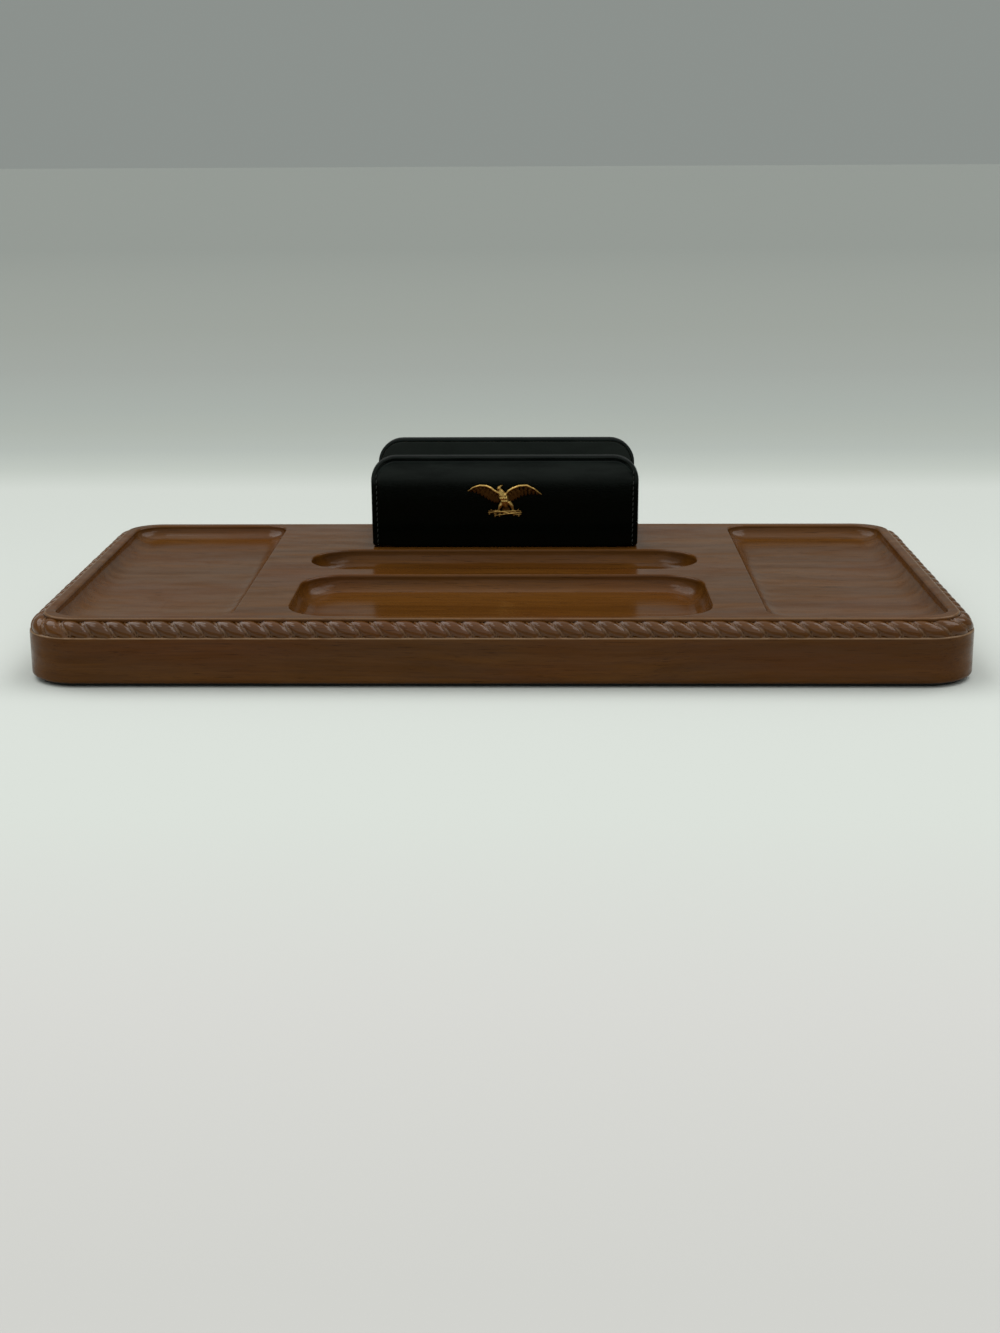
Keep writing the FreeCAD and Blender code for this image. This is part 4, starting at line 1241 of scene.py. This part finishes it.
def foam_pad(name, node, at_front, material):
    """Thin foam between the board and the outer leather, drawn down towards its edges."""
    bm = bmesh.new()
    low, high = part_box(node)
    width = high.x - low.x
    height = high.z - low.z
    middle = (high.z + low.z) / 2
    corner = PANEL_CORNER - COVER
    cut_corner = 0.3 * MM
    back_face = high.y if at_front else low.y
    sign = 1 if at_front else -1

    def ring(inset, thickness):
        radii = [cut_corner, cut_corner, corner, corner]
        points = outline(width, height, radii, min(inset, corner - 0.1 * MM), 8)
        return [bm.verts.new((x, back_face - sign * thickness(inset, z), middle + z)) for x, z in points]

    def drawn_down(inset, z):
        top = 1.0 if z > height / 2 - corner else 0.0
        lean = FOOT_LEAN * max(0.0, 1 - (middle + z - DECK) / LEAN_HEIGHT)
        return max(0.04 * MM, PADDING - setback(top, inset + COVER) - lean - 0.02 * MM)

    rings = [ring(inset * MM, drawn_down) for inset in (0.0, 0.5, 1.2, 2.2, 3.4, 5.0, 7.0, 9.5)]
    flat = ring(0.0, lambda inset, z: 0.0)
    join_rings(bm, [flat, *rings])
    bm.faces.new(rings[-1])
    bm.faces.new(flat)
    new_piece(name, bm, material, node, 60.0)


def stitch_tree():
    """Row of short thread stitches along lines."""
    graph, given, out = geometry_tree(
        "stitch_row",
        [
            ("Pitch", "Float"),
            ("Length", "Float"),
            ("Thickness", "Float"),
            ("Slant", "Float"),
            ("Material", "Material"),
        ],
    )
    line = graph.add("GeometryNodeMeshToCurve", {"Mesh": given["Geometry"]}).outputs["Curve"]
    resample = graph.add("GeometryNodeResampleCurve", {"Curve": line})
    resample.mode = "LENGTH"
    graph.feed(resample.inputs["Length"], given["Pitch"])
    way = graph.add("GeometryNodeInputTangent").outputs[0]
    aligned = graph.add("FunctionNodeAlignRotationToVector", {"Vector": way}, axis="Z").outputs["Rotation"]
    tilt = graph.add("FunctionNodeAxisAngleToRotation", {"Axis": (0.0, 1.0, 0.0), "Angle": given["Slant"]})
    slanted = graph.add(
        "FunctionNodeRotateRotation",
        {"Rotation": aligned, "Rotate By": tilt.outputs["Rotation"]},
        rotation_space="GLOBAL",
    ).outputs["Rotation"]
    bead = graph.add("GeometryNodeMeshUVSphere", {"Segments": 8, "Rings": 7, "Radius": 0.5}).outputs["Mesh"]
    size = graph.combine(given["Thickness"], given["Thickness"], given["Length"])
    shaped = graph.add("GeometryNodeTransform", {"Geometry": bead, "Scale": size}).outputs["Geometry"]
    placed = graph.add(
        "GeometryNodeInstanceOnPoints",
        {"Points": resample.outputs["Curve"], "Instance": shaped, "Rotation": slanted},
    ).outputs["Instances"]
    end_tree(graph, placed, given["Material"], out)
    return graph.tree


def seam_stitches(fold, material):
    """Stitches down the side edges of both panels."""
    tree = stitch_tree()
    for name, face, sign in (("front", fold.front, 1), ("back", fold.back, -1)):
        points = []
        edges = []
        for side, top, proud in ((-1, STITCH_TOP - 1.5 * MM, 0.05 * MM), (1, STITCH_TOP, 0.12 * MM)):
            x = side * (fold.half - STITCH_INSET)
            y = face + sign * (setback(0.0, STITCH_INSET) + crease(0.0, STITCH_INSET) - proud)
            levels = (fold.deck + 2.2 * MM, fold.deck + 16.0 * MM, fold.deck + LEAN_HEIGHT, top)
            edges += [(len(points) + i, len(points) + i + 1) for i in range(len(levels) - 1)]
            points += [settled_on_deck(fold, Vector((x, y, level))) for level in levels]
        values = {
            "Pitch": STITCH_PITCH,
            "Length": STITCH_LENGTH,
            "Thickness": STITCH_THICKNESS,
            "Slant": STITCH_SLANT,
            "Material": material,
        }
        piece_from_nodes(name + "_stitches", line_mesh(points, edges), tree, values)


# Brass eagle, in millimetres from the middle of its foot: x, z, and how far out from the leather

# Leading and trailing edges of the left and the right wing, from root to tip
WINGS = (
    (
        ((-2.2, 10.6), (-4.4, 11.8), (-5.9, 13.0), (-7.9, 13.9), (-10.7, 14.1), (-13.6, 13.2), (-15.9, 11.6)),
        ((-2.4, 6.5), (-4.0, 6.3), (-6.4, 7.2), (-8.7, 8.7), (-11.4, 10.2), (-14.4, 11.1)),
    ),
    (
        ((0.6, 10.4), (1.6, 11.7), (3.4, 12.8), (6.2, 13.9), (9.4, 14.1), (12.7, 12.6), (16.0, 10.0)),
        ((2.4, 6.5), (3.6, 7.2), (5.7, 8.2), (8.2, 9.3), (11.0, 9.9), (13.8, 9.9)),
    ),
)
WING_THICKNESS = (0.75, 0.85, 0.9, 0.85, 0.75, 0.58, 0.28)
FLIGHT_FEATHERS = 10

# Shorter feathers over them: reach down the wing, how far out, and how many
COVERTS = ((0.62, 0.85, 8), (0.36, 1.05, 7))

# Body, turned head and beak, as lobes of (x, z, out, half width, half depth)
BODY_LOBES = (
    (
        (0.6, 4.6, 0.8, 1.0, 0.8),
        (0.3, 6.6, 1.0, 1.9, 1.2),
        (-0.6, 9.0, 1.1, 2.15, 1.35),
        (-1.6, 11.2, 1.1, 1.5, 1.15),
        (-2.3, 12.5, 1.1, 0.95, 0.9),
    ),
    ((-2.0, 11.8, 1.2, 0.8, 0.8), (-2.5, 13.0, 1.3, 1.0, 0.95), (-2.2, 13.7, 1.3, 0.6, 0.6)),
    ((-2.4, 13.2, 1.3, 0.6, 0.5), (-1.5, 13.9, 1.3, 0.42, 0.4), (-0.8, 14.2, 1.3, 0.18, 0.2)),
)

# Rows of breast feathers: middle, height, count and half width of the row
BREAST_ROWS = ((-0.8, 9.8, 3, 1.0), (-0.5, 8.5, 4, 1.3), (-0.1, 7.2, 3, 1.0))

# Legs, as the x of hip, knee and claw, and twigs, as their two ends and half thickness
LEGS = ((-0.6, -1.9, -2.7), (1.7, 3.1, 3.6))
TWIGS = (((-7.2, 2.2), (6.6, 3.1), 0.42), ((-6.2, 3.0), (6.8, 1.2), 0.38), ((-4.6, 1.0), (7.4, 2.3), 0.36))


def lobe(bm, spots, sides=12):
    """Closed tapering tube of metal through (x, z, out, half width, half depth) spots."""
    path = [
        Vector((x * MM, cover_low.y - out * MM, EAGLE_FOOT + z * MM)) for x, z, out, wide, deep in spots
    ]
    rings = []
    for i, (x, z, out, wide, deep) in enumerate(spots):
        run = (path[min(i + 1, len(path) - 1)] - path[max(i - 1, 0)]).normalized()
        proud = Vector((0.0, -1.0, 0.0))
        proud = (proud - run * proud.dot(run)).normalized()
        across = run.cross(proud)
        ring = []
        for step in range(sides):
            angle = 2 * math.pi * step / sides
            offset = across * (wide * MM * math.cos(angle)) + proud * (deep * MM * math.sin(angle))
            ring.append(bm.verts.new(path[i] + offset))
        rings.append(ring)
    join_rings(bm, rings)
    bm.faces.new(rings[0])
    bm.faces.new(rings[-1])


def bar(bm, low, high):
    """Box between two corners."""
    for vert in bmesh.ops.create_cube(bm, size=1.0)["verts"]:
        share = vert.co + Vector((0.5, 0.5, 0.5))
        vert.co = Vector([lerp(low[i], high[i], share[i]) for i in range(3)])


def point_along(points, share):
    """Point at a share of the way along a row of (x, z) points."""
    spot = share * (len(points) - 1)
    index = min(int(spot), len(points) - 2)
    return between_points(points[index], points[index + 1], spot - index)


def between_points(first, second, share):
    return lerp(first[0], second[0], share), lerp(first[1], second[1], share)


def wing(bm, lead, trail):
    """Spread wing: thick leading edge, a fan of flight feathers and two rows of shorter ones."""
    for i in range(FLIGHT_FEATHERS):
        share = i / (FLIGHT_FEATHERS - 1)
        root = point_along(lead, 0.08 + 0.84 * share)
        tip = point_along(trail, share)
        half = lerp(0.66, 0.5, share)
        lobe(
            bm,
            [
                (root[0], root[1] - 0.2, 0.6, half, 0.4),
                (*between_points(root, tip, 0.5), 0.55, half * 1.4, 0.45),
                (*between_points(root, tip, 0.85), 0.45, half * 1.15, 0.35),
                (*tip, 0.35, half * 0.4, 0.25),
            ],
        )
    for row, (reach, out, count) in enumerate(COVERTS):
        for i in range(count):
            share = (i + 0.5 * row) / (count - 1)
            root = point_along(lead, min(1.0, 0.06 + 0.82 * share))
            tip = between_points(root, point_along(trail, min(1.0, share)), reach)
            lobe(
                bm,
                [
                    (root[0], root[1] - 0.1, out - 0.1, 0.45, 0.35),
                    (*between_points(root, tip, 0.6), out, 0.5, 0.4),
                    (*tip, out - 0.25, 0.22, 0.2),
                ],
            )
    lobe(bm, [(x, z, 1.35, thick * 0.75, thick) for (x, z), thick in zip(lead, WING_THICKNESS)])


def breast_and_tail(bm):
    for middle, z, count, spread in BREAST_ROWS:
        for i in range(count):
            x = middle + spread * (2 * i / (count - 1) - 1)
            lobe(bm, [(x, z + 0.7, 2.0, 0.3, 0.3), (x, z, 2.15, 0.45, 0.35), (x, z - 0.7, 1.95, 0.15, 0.2)])
    for i in range(5):
        x = 0.7 * (i - 2)
        lobe(
            bm,
            [
                (0.5 + x * 0.5, 5.0, 0.7, 0.4, 0.4),
                (0.6 + x, 3.4, 0.6, 0.45, 0.4),
                (0.7 + x * 1.2, 2.0, 0.5, 0.2, 0.3),
            ],
        )


def legs(bm):
    for hip, knee, claw in LEGS:
        lobe(bm, [(hip, 6.9, 1.2, 1.0, 0.9), (knee, 5.3, 1.3, 0.85, 0.8), (claw, 3.4, 1.3, 0.42, 0.45)])
        for toe in (-0.8, 0.0, 0.8):
            lobe(
                bm,
                [
                    (claw, 3.5, 1.4, 0.3, 0.3),
                    (claw + toe, 2.8, 1.6, 0.25, 0.3),
                    (claw + toe * 1.3, 1.9, 1.3, 0.1, 0.15),
                ],
            )


def twigs(bm):
    """Bundle of twigs that the eagle stands on, with leaves along them."""
    for start, end, thick in TWIGS:
        x, z = between_points(start, end, 0.5)
        lobe(
            bm,
            [
                (*start, 1.0, thick * 0.5, 0.6),
                (x, z + 0.25, 1.3, thick, 0.8),
                (*end, 1.0, thick * 0.5, 0.6),
            ],
        )
        for share in (0.08, 0.24, 0.74, 0.90):
            x, z = between_points(start, end, share)
            lean = math.copysign(1.0, x)
            for rise in (-0.95, 0.95):
                lobe(
                    bm,
                    [
                        (x, z, 1.2, 0.15, 0.3),
                        (x + 0.5 * lean, z + rise * 0.6, 1.2, 0.34, 0.5),
                        (x + 1.1 * lean, z + rise, 0.8, 0.08, 0.2),
                    ],
                )


def prongs(bm):
    """Two prongs straight back through the panel, then turned outwards behind its board."""
    face = cover_low.y
    low, high = PRONG_LEVEL - PRONG_HALF_HEIGHT, PRONG_LEVEL + PRONG_HALF_HEIGHT
    back = face + PRONG_LENGTH
    for side in (-1, 1):
        middle = side * PRONG_PLACE
        left, right = middle - PRONG_HALF_WIDTH, middle + PRONG_HALF_WIDTH
        bar(bm, (left, face - 0.4 * MM, low), (right, back, high))
        left, right = sorted((middle - side * PRONG_HALF_WIDTH, middle + side * PRONG_TURN))
        bar(bm, (left, back - 2 * PRONG_HALF_HEIGHT, low), (right, back, high))


def is_on_prong(point):
    middle = PRONG_PLACE + (PRONG_TURN - PRONG_HALF_WIDTH) / 2
    reach = (PRONG_TURN + PRONG_HALF_WIDTH) / 2 + 0.3 * MM
    level = abs(point.z - PRONG_LEVEL) < 2 * PRONG_HALF_HEIGHT
    return level and abs(abs(point.x) - middle) < reach


def eagle(material):
    """Traditional spread eagle on a bundle of twigs, cast in one with the two prongs behind it."""
    bm = bmesh.new()
    for lead, trail in WINGS:
        wing(bm, lead, trail)
    for spots in BODY_LOBES:
        lobe(bm, spots)
    breast_and_tail(bm)
    legs(bm)
    twigs(bm)
    prongs(bm)
    bmesh.ops.recalc_face_normals(bm, faces=bm.faces)
    mesh = bpy.data.meshes.new("cast")
    bm.to_mesh(mesh)
    bm.free()
    maker = add_object("cast", mesh)
    whole = maker.modifiers.new("one_casting", "REMESH")
    whole.mode = "VOXEL"
    whole.voxel_size = 0.15 * MM
    soft = maker.modifiers.new("soft_edges", "SMOOTH")
    soft.factor = 0.5
    soft.iterations = 2
    bm = bmesh.new()
    bm.from_mesh(made_plain(maker, "eagle"))
    # Nothing of the casting's front lies behind the leather's face
    for vert in bm.verts:
        if not is_on_prong(vert.co):
            vert.co.y = min(vert.co.y, cover_low.y - 0.02 * MM)
        vert.co.x = min(max(vert.co.x, eagle_low.x), eagle_high.x)
    new_piece("eagle_casting", bm, material, "eagle_emblem", 180.0, weighted=False)


# Stage


def floor_material():
    """Pale paper whose tones paint light and shade: lightest round the tray, and fading to grey far from it.
    """
    material, graph = new_material("paper")
    front, back = FLOOR_RUN
    y = graph.separate(graph.add("ShaderNodeTexCoord").outputs["Object"])[1]
    share = graph.math("DIVIDE", graph.minus(y, front), back - front)
    ramp = graph.add("ShaderNodeValToRGB", {"Fac": share})
    elements = ramp.color_ramp.elements
    while len(elements) < len(FLOOR_TONES):
        elements.new(0.5)
    for element, (distance, colour) in zip(elements, FLOOR_TONES):
        element.position = (distance - front) / (back - front)
        element.color = (*colour, 1)
    finish(graph, {"Base Color": ramp.outputs["Color"], "Roughness": 0.9, "Specular IOR Level": 0.1})
    return material


def floor():
    reach = 14.0
    mesh = bpy.data.meshes.new("floor")
    corners = [(-reach, -reach, 0), (reach, -reach, 0), (reach, reach, 0), (-reach, reach, 0)]
    mesh.from_pydata(corners, [], [(0, 1, 2, 3)])
    mesh.materials.append(floor_material())
    add_object("floor", mesh)


def room():
    """Even light from all round, which the camera and the glints see as a grey."""
    world = bpy.data.worlds.new("room")
    bpy.context.scene.world = world
    world.use_nodes = True
    graph = Graph(world.node_tree)
    rays = graph.add("ShaderNodeLightPath").outputs
    reflected = graph.math("MAXIMUM", rays["Is Glossy Ray"], rays["Is Transmission Ray"])
    seen = graph.math("MAXIMUM", rays["Is Camera Ray"], reflected)
    background = world.node_tree.nodes["Background"]
    graph.feed(background.inputs["Color"], graph.mix(seen, ROOM_LIGHT, ROOM_SEEN))
    background.inputs["Strength"].default_value = 1.0


def lamps():
    """A wide soft light from above, and lamps to the left and right, in front of the tray and behind it,
    that glint on the moulding and in the recesses' corners."""
    for name, energy, width, way in LAMPS:
        lamp = bpy.data.lights.new(name, "SUN")
        lamp.energy = energy
        lamp.angle = math.radians(width)
        lamp.color = LAMP_COLOUR
        add_object(name, lamp).rotation_euler = Vector(way).to_track_quat("Z", "Y").to_euler()


def camera():
    yaw, pitch, roll = CAMERA_YAW, CAMERA_PITCH, CAMERA_ROLL
    forward = Vector((math.sin(yaw) * math.cos(pitch), math.cos(yaw) * math.cos(pitch), -math.sin(pitch)))
    level = Vector((math.cos(yaw), -math.sin(yaw), 0.0))
    upright = level.cross(forward)
    right = level * math.cos(roll) + upright * math.sin(roll)
    up = upright * math.cos(roll) - level * math.sin(roll)
    data = bpy.data.cameras.new("camera")
    data.lens = CAMERA_LENS
    data.sensor_width = SENSOR
    data.sensor_fit = "AUTO"
    data.clip_start = 0.02
    data.clip_end = 60.0
    view = add_object("camera", data)
    turn = Matrix((right, up, -forward)).transposed().to_4x4()
    view.matrix_world = Matrix.Translation(CAMERA_PLACE) @ turn
    bpy.context.scene.camera = view


def dress_inner_parts(materials):
    """Finishes of the boards and screws that the leather and felt hide."""
    for node, material in materials.items():
        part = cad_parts[node]
        if not part.material_slots:
            part.data.materials.append(material)
        for slot in part.material_slots:
            slot.link = "OBJECT"
            slot.material = material


def build():
    figure = wood_figure_group()
    hide = hide_grain_group()
    dust = dust_group()
    tray_board(walnut("walnut", figure, board_surface, 1.27, 0.16))
    rope_moulding(walnut("walnut_rope", figure, rope_surface, 1.42, 0.09))
    felt_base(felt())
    fold = Fold()
    holder_cover(fold, leather("leather", hide, dust, COVER_DYE, 0.07, cover_marks))
    holder_lining(fold, leather("lining_leather", hide, dust, LINING_DYE, 0.5))
    soft = foam()
    foam_pad("front_foam", "holder_front_padding", True, soft)
    foam_pad("back_foam", "holder_back_padding", False, soft)
    seam_stitches(fold, waxed_thread())
    eagle(antique_brass())
    board = fibreboard()
    dress_inner_parts(
        {
            "holder_front_board": board,
            "holder_back_board": board,
            "holder_base_board": board,
            "holder_screws": plated_steel(),
        }
    )


bpy.context.scene.view_settings.view_transform = "Standard"
camera()
floor()
room()
lamps()
build()
